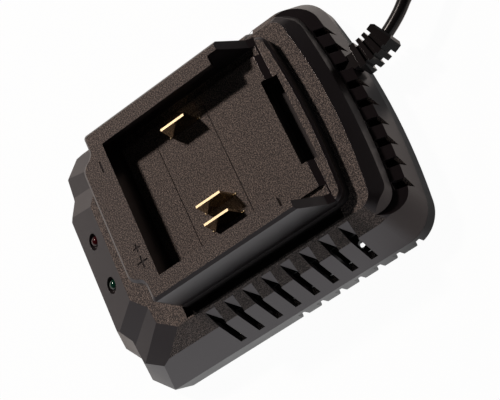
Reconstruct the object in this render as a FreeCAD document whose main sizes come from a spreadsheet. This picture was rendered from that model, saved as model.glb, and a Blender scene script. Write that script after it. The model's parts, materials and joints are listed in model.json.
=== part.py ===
"""A battery charger: a two-part housing with a slide-in well, its electronics, and a coiled mains cord.

Millimetres. X runs across the charger, Y from the lamp end to the cord end, Z up from the table.
The origin is on the table, under the middle of the housing.
"""
import FreeCAD, Part
import Sketcher
import os
from math import acos, asin, atan2, cos, pi, radians, sin, sqrt, tan
from types import SimpleNamespace

os.makedirs("parts", exist_ok=True)
Vector = FreeCAD.Vector
Rotation = FreeCAD.Rotation
Placement = FreeCAD.Placement
UP = Vector(0, 0, 1)
doc = FreeCAD.newDocument("battery_charger")
sheet = doc.addObject("Spreadsheet::Sheet", "Sizes")

SIZES = {
    # Heights above the table
    "foot_height": 1.5,
    "tray_height": 9.1,
    "shell_height": 25.6,
    "deck_rise": 23.8,
    "well_depth": 14.7,
    "ledge_drop": 2.0,
    "lip_thickness": 2.8,
    "groove_drop": 1.5,
    "tray_wall": 2.4,
    "tray_floor": 2.2,
    "tray_chamfer": 0.8,
    "tray_taper": 0.1,
    "tray_shelf": 2.6,
    "tongue_height": 1.4,
    "tongue_wall": 1.6,
    "tray_front_setback": 5.0,
    "shell_wall": 2.5,
    # Plan of the housing where its two halves meet
    "seam_nose_half": 31.0,
    "seam_nose_y": -77.7,
    "seam_cheek_x": 39.0,
    "seam_cheek_y": -72.4,
    "seam_shoulder_x": 50.0,
    "seam_shoulder_y": -71.4,
    "seam_side": 59.3,
    "seam_corner_y": -63.1,
    "seam_rear_y": 77.7,
    "seam_rear_radius": 290.0,
    "seam_corner_radius": 15.0,
    # Plan of the flat top of the housing
    "top_nose_half": 23.5,
    "top_nose_y": -52.8,
    "top_cheek_x": 31.0,
    "top_cheek_y": -46.3,
    "top_shoulder_x": 38.6,
    "top_shoulder_y": -45.6,
    "top_draw": 14.1,
    "top_corner_y": -37.0,
    "top_rear_y": 64.6,
    "top_rear_radius": 240.0,
    "top_corner_radius": 6.0,
    # Slopes, as the distance that a face moves out for each millimetre down
    "side_slope": 0.798,
    "front_slope": 1.66,
    "rear_slope": 0.818,
    "side_band_slope": 0.43,
    "front_band_slope": 0.5,
    "rear_band_slope": 0.19,
    "step_wall_y": 70.3,
    "step_wall_slope": 0.23,
    "step_height": 14.9,
    "step_slope": 0.724,
    # Cooling slots
    "side_slot_count": 8,
    "side_slot_pitch": 9.57,
    "side_slot_width": 3.2,
    "side_slot_start": -23.9,
    "side_slot_foot": 3.5,
    "scoop_width": 4.9,
    "scoop_depth": 2.0,
    "rear_slot_count": 9,
    "rear_slot_pitch": 9.4,
    "rear_slot_width": 3.7,
    "rear_slot_middle": 3.0,
    "rear_slot_tip": 5.0,
    "tray_slot_count": 7,
    "tray_slot_pitch": 9.63,
    "tray_slot_width": 3.3,
    "tray_slot_start": 1.5,
    "tray_slot_head": 3.0,
    "tray_slot_inner": 50.5,
    "floor_slot_count": 4,
    "floor_slot_pitch": 18.0,
    "floor_slot_length": 14.0,
    "floor_slot_width": 3.0,
    "floor_slot_x": 40.0,
    "floor_slot_middle": 5.0,
    "drain_x": 46.2,
    "drain_y": 39.2,
    "drain_diameter": 3.4,
    # The deck with the battery well
    "deck_half": 40.0,
    "deck_shoulder_y": -31.1,
    "deck_shoulder_half": 33.5,
    "deck_nose_reach": 6.4,
    "deck_nose_half": 24.2,
    "deck_wall": 2.6,
    "well_floor": 2.2,
    "latch_wall": 2.0,
    "deck_bevel": 1.3,
    "deck_foot": 8.0,
    "well_start": 7.4,
    "well_half": 31.7,
    "groove_depth": 4.3,
    "lip_end": 65.8,
    "rail_end": 70.4,
    "ramp_length": 8.0,
    "ledge_rear": 87.3,
    "ledge_radius": 340.0,
    "ledge_corner_radius": 5.0,
    "ledge_bevel": 1.2,
    "ledge_fillet": 2.7,
    "flange_thickness": 2.5,
    "flange_reach": 4.5,
    "channel_width": 4.3,
    "channel_depth": 4.6,
    "fit_gap": 0.2,
    "seam_gap": 0.3,
    # Latch pocket
    "latch_half": 20.0,
    "latch_start": 76.1,
    "latch_width": 6.9,
    "latch_depth": 7.0,
    # Contact block and blades
    "block_start": 22.9,
    "block_length": 27.0,
    "block_half": 27.0,
    "block_height": 9.0,
    "blade_pitch": 8.4,
    "blade_outer": 22.9,
    "blade_thickness": 1.0,
    "blade_length": 14.4,
    "blade_taper": 1.2,
    "blade_height": 10.6,
    "blade_start": 31.0,
    "blade_tail_width": 6.4,
    # Lamps
    "lamp_half_spacing": 11.0,
    "lamp_y": -60.8,
    "lamp_diameter": 5.0,
    "lamp_recess": 7.6,
    "lamp_recess_depth": 2.2,
    "lamp_length": 8.6,
    "lamp_proud": 0.6,
    "lamp_flange": 5.9,
    "lamp_sleeve": 9.0,
    "lamp_board_half": 22.0,
    "lamp_board_width": 8.0,
    "lamp_screw_x": 18.0,
    "lamp_board_thickness": 1.6,
    # Main board and what it carries
    "board_half": 43.0,
    "board_front": -40.0,
    "board_length": 92.0,
    "board_thickness": 1.6,
    "board_boss_height": 4.4,
    "board_boss_diameter": 7.0,
    "board_boss_x": 38.0,
    "board_boss_inset": 5.0,
    "terminal_board_half": 34.0,
    "terminal_board_margin": 9.0,
    "terminal_board_hole_x": 29.5,
    "terminal_board_hole_inset": 5.5,
    "block_foot": 1.7,
    # Fasteners
    "boss_diameter": 9.0,
    "front_boss_x": 30.0,
    "front_boss_y": -47.0,
    "rear_boss_x": 33.0,
    "rear_boss_y": 60.0,
    "screw_diameter": 3.5,
    "screw_length": 16.0,
    "screw_head": 6.6,
    "screw_head_height": 2.4,
    "small_screw_diameter": 2.5,
    "small_screw_length": 8.0,
    "small_screw_head": 4.8,
    "small_screw_head_height": 1.8,
    "screw_gap": 0.2,
    "head_recess": 3.0,
    "ear_x": 14.0,
    "ear_boss_diameter": 7.0,
    # Feet
    "foot_diameter": 12.0,
    "foot_recess": 1.0,
    "foot_front_x": 44.0,
    "foot_front_y": -50.0,
    "foot_rear_x": 43.0,
    "foot_rear_y": 65.0,
    # Cord, boot and plug
    "cord_diameter": 5.6,
    "boot_x": -16.5,
    "boot_height": 17.5,
    "boot_square": 11.3,
    "boot_neck": 7.0,
    "boot_rib": 2.1,
    "boot_rib_pitch": 3.6,
    "boot_end_rib": 4.2,
    "boot_start_y": 78.5,
    "boot_turn": 24.0,
    "boot_bend_radius": 38.0,
    "boot_base": 2.8,
    "boot_core": 8.0,
    "boot_chamfer": 1.0,
    "boot_collar": 11.0,
    "boot_collar_y": 71.5,
    "boot_collar_thickness": 2.4,
    "clamp_y": 65.0,
    "clamp_width": 6.0,
    "clamp_half": 10.0,
    "clamp_screw_x": 6.6,
    "clamp_bar": 3.6,
    "inner_cord_end": 60.0,
    "coil_x": -77.0,
    "coil_y": 138.0,
    "coil_radius": 43.0,
    "coil_half_turns": 7,
    "coil_pitch": 7.3,
    "coil_climb": 6.6,
    "tie_width": 11.0,
    "tie_thickness": 0.9,
    "tie_gap": 0.2,
    "plug_x": -110.4,
    "plug_rear_y": 88.0,
    "plug_width": 26.0,
    "plug_thickness": 13.6,
    "plug_length": 34.0,
    "pin_diameter": 4.0,
    "pin_length": 19.0,
    "pin_spacing": 18.6,
    "plug_taper": 14.0,
    "plug_neck": 11.0,
    "plug_fillet": 2.5,
    "rating_plate_length": 62.0,
    "rating_plate_width": 40.0,
    "rating_plate_depth": 0.4,
    # Components on the main board
    "transformer_x": -14.0,
    "transformer_y": 2.0,
    "core_length": 33.0,
    "core_width": 13.0,
    "core_height": 22.0,
    "core_leg": 9.0,
    "core_yoke": 4.5,
    "bobbin_width": 24.0,
    "bobbin_wall": 1.2,
    "winding_depth": 3.6,
    "core_gap": 0.2,
    "mains_capacitor_diameter": 18.0,
    "mains_capacitor_length": 26.0,
    "mains_capacitor_x": 24.0,
    "mains_capacitor_y": 24.0,
    "output_capacitor_x": 8.0,
    "output_capacitor_y": -29.0,
    "output_capacitor_diameter": 10.0,
    "output_capacitor_height": 15.0,
    "choke_x": -31.0,
    "choke_y": 34.0,
    "choke_width": 16.0,
    "choke_wire": 4.2,
    "filter_capacitor_x": -8.0,
    "filter_capacitor_y": 37.0,
    "filter_capacitor_length": 18.0,
    "filter_capacitor_width": 8.0,
    "filter_capacitor_height": 14.0,
    "fuse_x": -37.5,
    "fuse_y": -6.0,
    "fuse_length": 20.0,
    "fuse_diameter": 5.2,
    "heat_sink_inset": 12.0,
    "heat_sink_y": -27.0,
    "heat_sink_fins": 7,
    "heat_sink_length": 46.0,
    "heat_sink_height": 20.0,
    "heat_sink_thickness": 3.0,
    "heat_sink_fin": 5.0,
    "transistor_width": 10.0,
    "transistor_height": 15.0,
    "transistor_thickness": 4.4,
    "relay_x": -26.0,
    "relay_y": -27.0,
    "relay_length": 19.0,
    "relay_width": 15.0,
    "relay_height": 15.6,
    "chip_x": -6.0,
    "chip_y": -27.0,
    "chip_length": 10.0,
    "chip_width": 4.0,
    "chip_height": 1.8,
    "mains_terminal_y": 47.0,
    "mains_terminal_length": 9.0,
    "mains_terminal_width": 14.0,
    "mains_terminal_height": 11.0,
    "lead_diameter": 2.2,
    "riser_diameter": 1.8,
    "output_lead_x": -6.0,
    "output_lead_y": -13.0,
}
for row, (alias, value) in enumerate(SIZES.items(), start=1):
    sheet.set("A%d" % row, alias)
    sheet.set("B%d" % row, str(value))
    sheet.setAlias("B%d" % row, alias)
doc.recompute()
size = SimpleNamespace(**{alias: float(sheet.get(alias)) for alias in SIZES})

# Levels and places that follow from the sizes
seam_level = size.foot_height + size.tray_height
top_level = seam_level + size.shell_height
top_side = size.seam_side - size.top_draw
frame_top = top_level + size.deck_rise
floor_level = frame_top - size.well_depth
ledge_level = floor_level - size.ledge_drop
deck_bottom = top_level - size.shell_wall - size.deck_foot
well_start_y = size.deck_shoulder_y + size.well_start
lip_end_y = size.deck_shoulder_y + size.lip_end
rail_end_y = size.deck_shoulder_y + size.rail_end
ramp_end_y = rail_end_y + size.ramp_length
ledge_rear_y = size.deck_shoulder_y + size.ledge_rear
board_bottom = size.foot_height + size.tray_floor + size.board_boss_height
board_top = board_bottom + size.board_thickness
BIG = 400.0
parts = {}


def keep(node, thing):
    """Name an object of the document as a sub-part."""
    thing.Label = node
    parts[node] = thing
    return thing


def feature(node, shape, place=None):
    """A sub-part whose shape comes from the functions below."""
    thing = doc.addObject("Part::Feature", node)
    thing.Shape = shape
    thing.Placement = place or Placement()
    return keep(node, thing)


def block(x1, x2, y1, y2, z1, z2):
    return Part.makeBox(x2 - x1, y2 - y1, z2 - z1, Vector(x1, y1, z1))


def post(x, y, z1, z2, diameter):
    return Part.makeCylinder(diameter / 2, z2 - z1, Vector(x, y, z1))


def prism(points, level, height):
    """An upright prism on a polygon of (x, y) points."""
    corners = [Vector(x, y, level) for x, y in points]
    return Part.Face(Part.makePolygon(corners + corners[:1])).extrude(Vector(0, 0, height))


def ruled(lower, upper):
    return Part.makeLoft([lower, upper], True, True)


def mirrored(shape):
    return shape.mirror(Vector(0, 0, 0), Vector(1, 0, 0))


def both(shape):
    """A shape and its mirror image on the other side of the middle."""
    return [shape, mirrored(shape)]


# Outlines of the housing

def arc(first, middle, last):
    return Part.Arc(first, middle, last).toShape()


def rounded_rear(side, rear_y, rear_radius, corner_radius):
    """Where a corner arc leaves the side, passes its middle and meets the rear arc."""
    centre_y = rear_y - rear_radius
    corner_x = side - corner_radius
    corner_y = centre_y + sqrt((rear_radius - corner_radius) ** 2 - corner_x ** 2)
    angle = atan2(corner_y - centre_y, corner_x)
    start = (side, corner_y)
    middle = (corner_x + corner_radius * cos(angle / 2), corner_y + corner_radius * sin(angle / 2))
    end = (rear_radius * cos(angle), centre_y + rear_radius * sin(angle))
    return start, middle, end


def outline(front, side, rear_y, rear_radius, corner_radius, level):
    """A closed outline: a faceted front, straight sides and an arched rear with round corners."""
    start, middle, end = rounded_rear(side, rear_y, rear_radius, corner_radius)

    def at(point, sign=1):
        return Vector(sign * point[0], point[1], level)

    right = list(front) + [start]
    edges = [Part.makeLine(at(front[0], -1), at(front[0]))]
    edges += [Part.makeLine(at(one), at(two)) for one, two in zip(right, right[1:])]
    edges.append(arc(at(start), at(middle), at(end)))
    edges.append(arc(at(end), Vector(0, rear_y, level), at(end, -1)))
    edges.append(arc(at(end, -1), at(middle, -1), at(start, -1)))
    left = right[::-1]
    edges += [Part.makeLine(at(one, -1), at(two, -1)) for one, two in zip(left, left[1:])]
    return Part.Wire(edges)


def seam_outline(level, inset=0.0, rise=0.0, rear_y=None, setback=0.0, widen=0.0):
    """The outline of the lower band, drawn in by its slopes as it rises above the seam."""
    side = size.seam_side - size.side_band_slope * rise - inset + widen
    forward = size.front_band_slope * rise + inset + setback
    inward = size.side_band_slope * rise + inset
    front = [
        (size.seam_nose_half - inward / 2, size.seam_nose_y + forward),
        (size.seam_cheek_x - inward / 2, size.seam_cheek_y + forward),
        (size.seam_shoulder_x - inward / 2, size.seam_shoulder_y + forward),
        (side, size.seam_corner_y + forward),
    ]
    rear = size.seam_rear_y - size.rear_band_slope * rise - inset if rear_y is None else rear_y
    return outline(front, side, rear, size.seam_rear_radius, size.seam_corner_radius - inset / 2, level)


def top_outline(level, inset=0.0, drop=0.0):
    """The outline of the flat top, spread by its slopes as it drops below the top."""
    side = top_side + size.side_slope * drop - inset
    forward = size.front_slope * drop - inset
    outward = size.side_slope * drop - inset
    front = [
        (size.top_nose_half + 0.75 * outward, size.top_nose_y - forward),
        (size.top_cheek_x + 0.75 * outward, size.top_cheek_y - forward),
        (size.top_shoulder_x + outward, size.top_shoulder_y - forward),
        (side, size.top_corner_y - forward),
    ]
    rear = size.top_rear_y + size.rear_slope * drop - inset
    corner = size.top_corner_radius + 0.4 * drop
    return outline(front, side, rear, size.top_rear_radius, corner, level)


def step_ring(drop, clearance):
    """What lies above the sloping step at the rear: a turned ring, cut away from the skirt."""
    centre_y = size.step_wall_y - size.seam_rear_radius
    inner = size.seam_rear_radius - 8
    outer = size.seam_rear_radius + 30
    level = seam_level + size.step_height - drop

    def at(radius):
        return level - size.step_slope * (radius - size.seam_rear_radius)

    high = top_level + clearance
    corners = [(inner, at(inner)), (outer, at(outer)), (outer, high), (inner, high)]
    corners = [Vector(radius, 0, z) for radius, z in corners]
    face = Part.Face(Part.makePolygon(corners + corners[:1]))
    reach = 20
    face.rotate(Vector(), UP, 90 - reach)
    ring = face.revolve(Vector(), UP, 2 * reach)
    ring.translate(Vector(0, centre_y, 0))
    return ring


def shell_form(wall):
    """The outer form of the upper housing, or with a wall its hollow."""
    bottom = seam_level - (1 if wall else 0)
    top = top_level - wall
    reach = top - bottom + 1
    rise = bottom - seam_level
    inset = 1.1 * wall
    skirt = ruled(seam_outline(bottom, inset, rise), seam_outline(bottom + reach, inset, rise + reach))
    low = top - bottom + 1
    cap = ruled(top_outline(bottom - 1, 0.45 * wall, low), top_outline(top, 0.45 * wall))
    step_rear = size.step_wall_y + size.step_wall_slope * (size.step_height - bottom + seam_level)
    wall_low = step_rear - wall
    wall_high = wall_low - size.step_wall_slope * reach
    core = ruled(
        seam_outline(bottom, inset, rise, rear_y=wall_low, widen=0.1),
        seam_outline(bottom + reach, inset, rise + reach, rear_y=wall_high, widen=0.1),
    )
    cut = step_ring(1.3 * wall, 5).cut(core)
    return skirt.common(cap).cut(cut)


# Cooling slots

def slope_point(along, drop, depth=0.0):
    """A point of the sloping side face, a drop below the flat top and a depth inside the face."""
    return Vector(top_side + size.side_slope * drop - depth, along, top_level - drop)


bend_drop = (size.seam_side - top_side - size.side_band_slope * size.shell_height) / (
    size.side_slope - size.side_band_slope)


def tetrahedron(corner, others, stretch):
    """A four-sided cutter on a corner and three points, stretched away from the corner."""
    tips = [corner + (point - corner) * stretch for point in others]
    corners = [corner] + tips
    faces = []
    for skipped in range(4):
        three = [point for index, point in enumerate(corners) if index != skipped]
        faces.append(Part.Face(Part.makePolygon(three + three[:1])))
    solid = Part.makeSolid(Part.makeShell(faces))
    if solid.Volume < 0:
        solid.reverse()
    return solid


def side_slot(start):
    """One slot of the side: square in the band, a scooped wedge in the slope above it."""
    end = start + size.side_slot_width
    foot = seam_level + size.side_slot_foot
    bend = top_level - bend_drop
    inner = top_side - 7
    band = block(inner, size.seam_side + 5, start, end, foot, bend)
    apex_drop = 1.2
    wedge = [(start, top_level - apex_drop), (start, bend - 1), (end, bend - 1), (end, bend)]
    corners = [Vector(inner, y, z) for y, z in wedge]
    slope = Part.Face(Part.makePolygon(corners + corners[:1])).extrude(Vector(size.seam_side, 0, 0))
    low = bend_drop + 0.6
    rim = [
        slope_point(start, apex_drop),
        slope_point(start + size.scoop_width, apex_drop),
        slope_point(end + 0.3, low),
    ]
    scoop = tetrahedron(slope_point(end, low, size.scoop_depth), rim, 1.3)
    return [band, slope, scoop]


def rear_slot(middle):
    """One slot of the rear: square through the step, running out in a point down the skirt."""
    left = middle - size.rear_slot_width / 2
    right = middle + size.rear_slot_width / 2
    crest = seam_level + size.step_height
    front = size.step_wall_y + 0.4 - middle ** 2 / (2 * size.seam_rear_radius)
    back = size.seam_rear_y + 3
    brink = crest - 4.2
    square = block(left, right, front, back, brink, crest + 2)
    through = block(left, right, front, front + 3.4, brink - 6, crest + 2)
    tip = [(left, brink + 0.1), (right, brink + 0.1), (right, brink - size.rear_slot_tip)]
    corners = [Vector(x, front + 2.5, z) for x, z in tip]
    point = Part.Face(Part.makePolygon(corners + corners[:1])).extrude(Vector(0, 8, 0))
    return [square, through, point]


def spread(count, pitch, middle):
    return [middle + pitch * (index - (count - 1) / 2) for index in range(int(count))]


# The deck that carries the battery well

def deck_outline(level, grow=0.0):
    """The deck seen from above: a nose with flowing shoulders, straight sides and an arched rear."""
    nose_y = size.deck_shoulder_y - size.deck_nose_reach - grow
    shoulder_y = size.deck_shoulder_y - grow
    nose = size.deck_nose_half + grow / 2
    shoulder = size.deck_shoulder_half + grow / 2
    side = size.deck_half + grow
    corner = 1.5 + max(grow, 0)
    run = shoulder - nose
    rise = shoulder_y - nose_y
    bend = (run ** 2 + rise ** 2) / (4 * rise)
    sweep = asin(run / 2 / bend)
    half = sweep / 2

    def at(x, y, sign=1):
        return Vector(sign * x, y, level)

    front = [
        (nose, nose_y),
        (nose + bend * sin(half), nose_y + bend * (1 - cos(half))),
        (nose + run / 2, nose_y + rise / 2),
        (shoulder - bend * sin(half), shoulder_y - bend * (1 - cos(half))),
        (shoulder, shoulder_y),
        (side - corner, shoulder_y),
        (side - corner * (1 - sin(pi / 4)), shoulder_y + corner * (1 - cos(pi / 4))),
        (side, shoulder_y + corner),
    ]
    rear = rounded_rear(side, ledge_rear_y + grow, size.ledge_radius, size.ledge_corner_radius + grow)
    edges = [Part.makeLine(at(*front[0], -1), at(*front[0]))]
    for sign, order in ((1, 1), (-1, -1)):
        arcs = [front[0:3], front[2:5], front[5:8], rear]
        half_edges = [arc(*[at(*point, sign) for point in three][::order]) for three in arcs]
        half_edges.insert(2, Part.makeLine(*[at(*point, sign) for point in front[4:6]][::order]))
        half_edges.insert(4, Part.makeLine(at(*front[7], sign), at(*rear[0], sign)))
        if sign < 0:
            half_edges = half_edges[::-1]
            edges.append(arc(at(*rear[2]), Vector(0, ledge_rear_y + grow, level), at(*rear[2], -1)))
        edges += half_edges
    return Part.Wire(Part.__sortEdges__(edges))


def deck_prism(low, high, grow=0.0):
    return Part.Face(deck_outline(low, grow)).extrude(Vector(0, 0, high - low))


def profile_prism(points, x1, x2):
    """A prism along X on a polygon of (y, z) points."""
    corners = [Vector(x1, y, z) for y, z in points]
    return Part.Face(Part.makePolygon(corners + corners[:1])).extrude(Vector(x2 - x1, 0, 0))


def minus_mark(x, y, length, width, depth):
    return block(x - length / 2, x + length / 2, y - width / 2, y + width / 2,
                 frame_top - depth, frame_top + 1)


def plus_mark(x, y, length, width, depth):
    upright = block(x - width / 2, x + width / 2, y - length / 2, y + length / 2,
                    frame_top - depth, frame_top + 1)
    return upright.fuse(minus_mark(x, y, length, width, depth))


ear_front_y = size.front_boss_y
ear_rear_y = ledge_rear_y + size.ear_boss_diameter / 2 + 1.5
ear_places = [(sign * size.ear_x, y) for y in (ear_front_y, ear_rear_y) for sign in (1, -1)]
ear_top = deck_bottom + size.flange_thickness
groove_level = floor_level - size.groove_drop
floor_under = groove_level - size.well_floor
block_front_y = size.deck_shoulder_y + size.block_start
block_rear_y = block_front_y + size.block_length
terminal_board_top = floor_level - size.block_height
terminal_board_bottom = terminal_board_top - size.board_thickness
terminal_screw_tip = terminal_board_bottom + size.small_screw_length
terminal_board_places = [(sign * size.terminal_board_hole_x, y)
                         for y in (block_front_y - size.terminal_board_hole_inset,
                                   block_rear_y + size.terminal_board_hole_inset) for sign in (1, -1)]
flange_edge = (top_side - 0.45 * size.shell_wall - size.seam_gap
               + size.side_slope * (size.channel_depth - size.shell_wall))


def make_deck():
    rail_inner = size.well_half + size.groove_depth
    bevel_level = frame_top - size.deck_bevel
    ledge_edge = ledge_level - size.ledge_bevel
    low = deck_prism(deck_bottom, ledge_edge)
    ledge = ruled(deck_outline(ledge_edge), deck_outline(ledge_level, -size.ledge_bevel))
    upper = deck_prism(ledge_edge - 1, bevel_level)
    rim = ruled(deck_outline(bevel_level), deck_outline(frame_top, -size.deck_bevel))
    upper = upper.fuse(rim)
    rear = profile_prism([
        (rail_end_y, frame_top + 1),
        (rail_end_y, frame_top),
        (ramp_end_y, floor_level),
        (ramp_end_y + size.ledge_fillet, ledge_level),
        (ramp_end_y + size.ledge_fillet, ledge_edge - 2),
        (BIG, ledge_edge - 2),
        (BIG, frame_top + 1),
    ], -BIG, BIG)
    well = block(-rail_inner, rail_inner, well_start_y, BIG, groove_level, frame_top + 1)
    upper = upper.cut([rear, well])
    lips = both(block(size.well_half, rail_inner + 0.5, well_start_y - 0.5, lip_end_y,
                      frame_top - size.lip_thickness, frame_top))
    platform = profile_prism([
        (well_start_y - 0.5, groove_level - 0.5),
        (well_start_y - 0.5, floor_level),
        (ramp_end_y, floor_level),
        (ramp_end_y + size.ledge_fillet, ledge_level),
        (ramp_end_y + size.ledge_fillet, ledge_edge - 1),
        (well_start_y - 0.5, ledge_edge - 1),
    ], -size.well_half, size.well_half)
    deck = low.fuse([ledge, upper, platform] + lips)
    hollow = deck_prism(deck_bottom - 1, floor_under, -size.deck_wall)
    nose = deck_prism(floor_under - 1, frame_top - size.deck_wall, -size.deck_wall)
    nose = nose.common(block(-BIG, BIG, -BIG, well_start_y - size.deck_wall, 0, BIG))
    deck = deck.cut([hollow, nose])
    latch_y = size.deck_shoulder_y + size.latch_start
    cup_wall = size.latch_wall
    cup = block(-size.latch_half - cup_wall, size.latch_half + cup_wall, latch_y - cup_wall,
                latch_y + size.latch_width + cup_wall, ledge_level - size.latch_depth - cup_wall,
                floor_under + 1)
    flange_low = top_level - size.shell_wall - size.flange_thickness
    nose_y = size.deck_shoulder_y - size.deck_nose_reach
    front_flange = block(-size.deck_nose_half, size.deck_nose_half, nose_y - size.flange_reach,
                         nose_y + 1, flange_low, flange_low + size.flange_thickness)
    rear_flange = block(-size.deck_nose_half, size.deck_nose_half, ledge_rear_y - 3,
                        ledge_rear_y + size.flange_reach, flange_low, flange_low + size.flange_thickness)
    room = size.ear_boss_diameter + 2 * size.seam_gap
    rear_flange = rear_flange.cut([post(x, y, flange_low - 1, top_level, room) for x, y in ear_places])
    channel_floor = top_level - size.channel_depth
    side_flanges = both(block(size.deck_half - 1, flange_edge, size.deck_shoulder_y - 2, ramp_end_y + 3,
                              channel_floor - size.flange_thickness, channel_floor))
    ears = []
    ear_half = size.ear_boss_diameter / 2 + 1
    for x, y in ear_places:
        near = nose_y + 1 if y < 0 else ledge_rear_y - 3
        ears.append(block(x - ear_half, x + ear_half, min(y - ear_half, near), max(y + ear_half, near),
                          deck_bottom, ear_top))
    board_posts = [post(x, y, terminal_board_top, floor_under + 0.5, size.board_boss_diameter - 1)
                   for x, y in terminal_board_places]
    deck = deck.fuse([cup, front_flange, rear_flange] + side_flanges + ears + board_posts)
    cuts = [block(-size.latch_half, size.latch_half, latch_y, latch_y + size.latch_width,
                  ledge_level - size.latch_depth, frame_top)]
    cuts.append(block(-size.block_half, size.block_half, block_front_y, block_rear_y,
                      floor_under - 1, floor_level + 1))
    cuts += [post(x, y, deck_bottom - 1, ear_top + 1, size.small_screw_diameter + size.screw_gap)
             for x, y in ear_places]
    cuts += [post(x, y, terminal_board_top - 1, terminal_screw_tip + 0.4,
                  size.small_screw_diameter + size.screw_gap) for x, y in terminal_board_places]
    mark_y = size.deck_shoulder_y + 3.1
    cuts.append(minus_mark(-size.blade_outer, mark_y, 5.4, 0.9, 0.4))
    cuts.append(plus_mark(size.blade_outer, mark_y, 5.2, 0.9, 0.4))
    cuts.append(plus_mark(size.blade_outer - size.blade_pitch + 2, mark_y, 3.6, 0.8, 0.4))
    return deck.cut(cuts).removeSplitter()


deck = feature("battery_deck", make_deck())


# The upper housing

deck_flange_top = top_level - size.shell_wall
housing_screw_places = [(size.front_boss_x, size.front_boss_y), (-size.front_boss_x, size.front_boss_y),
                        (size.rear_boss_x, size.rear_boss_y), (-size.rear_boss_x, size.rear_boss_y)]
housing_screw_seat = size.foot_height + size.screw_head_height + 0.5
housing_screw_tip = housing_screw_seat + size.screw_length
lamp_tilt = atan2(1, size.front_slope)
lamp_axis = Vector(0, -sin(lamp_tilt), cos(lamp_tilt))
lamp_across = Vector(0, cos(lamp_tilt), sin(lamp_tilt))
lamp_drop = (size.top_nose_y - size.lamp_y) / size.front_slope


def lamp_point(x, depth, across=0.0):
    """A point behind the lamp facet, a depth along the lamp's axis."""
    surface = Vector(x, size.lamp_y, top_level - lamp_drop)
    return surface - lamp_axis * depth + lamp_across * across


def lamp_post(x, start, end, diameter):
    """A round post along the lamp's axis between two depths behind the facet."""
    return Part.makeCylinder(diameter / 2, end - start, lamp_point(x, start), lamp_axis * -1)


lamp_base = size.lamp_length - size.lamp_proud
lamp_places = (-size.lamp_half_spacing, size.lamp_half_spacing)
lamp_screw_places = (-size.lamp_screw_x, size.lamp_screw_x)


def boot_hole(grow):
    half = size.boot_neck / 2 + grow
    return block(size.boot_x - half, size.boot_x + half, size.seam_rear_y - 12, size.seam_rear_y + 1,
                 size.boot_height - half, size.boot_height + half)


def make_upper_housing():
    outer = shell_form(0)
    shell = outer.cut(shell_form(size.shell_wall))
    inside = top_level - 1
    bosses = [post(x, y, seam_level, inside, size.boss_diameter) for x, y in housing_screw_places]
    bosses += [post(x, y, ear_top, inside, size.ear_boss_diameter) for x, y in ear_places]
    bosses += [lamp_post(x, 1, lamp_base - 1, size.lamp_sleeve) for x in lamp_places]
    bosses += [lamp_post(x, 1, lamp_base, size.board_boss_diameter - 1) for x in lamp_screw_places]
    shell = shell.fuse([boss.common(outer) for boss in bosses])
    opening = deck_prism(deck_flange_top - 6, top_level + 1, size.fit_gap)
    rim = size.deck_half + size.channel_width
    channel = block(-rim, rim, size.deck_shoulder_y - 0.5, ramp_end_y + 0.7, top_level - 3.2, top_level + 1)
    slots = []
    for index in range(int(size.side_slot_count)):
        for cutter in side_slot(size.side_slot_start + index * size.side_slot_pitch):
            slots += both(cutter)
    for middle in spread(size.rear_slot_count, size.rear_slot_pitch, size.rear_slot_middle):
        slots += rear_slot(middle)
    holes = [post(x, y, seam_level - 1, housing_screw_tip + 1, size.screw_diameter + size.screw_gap)
             for x, y in housing_screw_places]
    holes += [post(x, y, ear_top - 1, deck_bottom + size.small_screw_length + 0.4,
                   size.small_screw_diameter + size.screw_gap) for x, y in ear_places]
    for x in lamp_places:
        holes.append(lamp_post(x, -2, size.lamp_recess_depth, size.lamp_recess))
        holes.append(lamp_post(x, 0, lamp_base + 1, size.lamp_diameter + size.screw_gap))
    tip = lamp_base + size.lamp_board_thickness - size.small_screw_length - 0.3
    holes += [lamp_post(x, tip, lamp_base + 1, size.small_screw_diameter + size.screw_gap)
              for x in lamp_screw_places]
    return shell.cut([opening, channel, boot_hole(size.fit_gap)] + slots + holes)


upper_housing = feature("upper_housing", make_upper_housing())


# The tray below it

board_hole_y = (size.board_front + size.board_boss_inset,
                size.board_front + size.board_length - size.board_boss_inset)
board_screw_places = [(sign * size.board_boss_x, y) for y in board_hole_y for sign in (1, -1)]
board_screw_tip = board_top - size.small_screw_length
foot_places = [(sign * x, y) for x, y in ((size.foot_front_x, size.foot_front_y),
                                          (size.foot_rear_x, size.foot_rear_y)) for sign in (1, -1)]
floor_top = size.foot_height + size.tray_floor
clamp_seat = size.boot_height + size.seam_gap / 2
clamp_top = clamp_seat + size.clamp_bar
clamp_tip = clamp_top - size.small_screw_length
clamp_places = [(size.boot_x - size.clamp_screw_x, size.clamp_y),
                (size.boot_x + size.clamp_screw_x, size.clamp_y)]


def cord_bore(y1, y2, gap):
    return Part.makeCylinder(size.cord_diameter / 2 + gap, y2 - y1,
                             Vector(size.boot_x, y1, size.boot_height), Vector(0, 1, 0))


def tray_outline(level, inset):
    """The outline of the tray, drawn in a little and set back at the front as it goes down."""
    drop = (seam_level - level) / size.tray_height
    return seam_outline(level, inset + size.tray_taper * drop, setback=size.tray_front_setback * drop)


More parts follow.
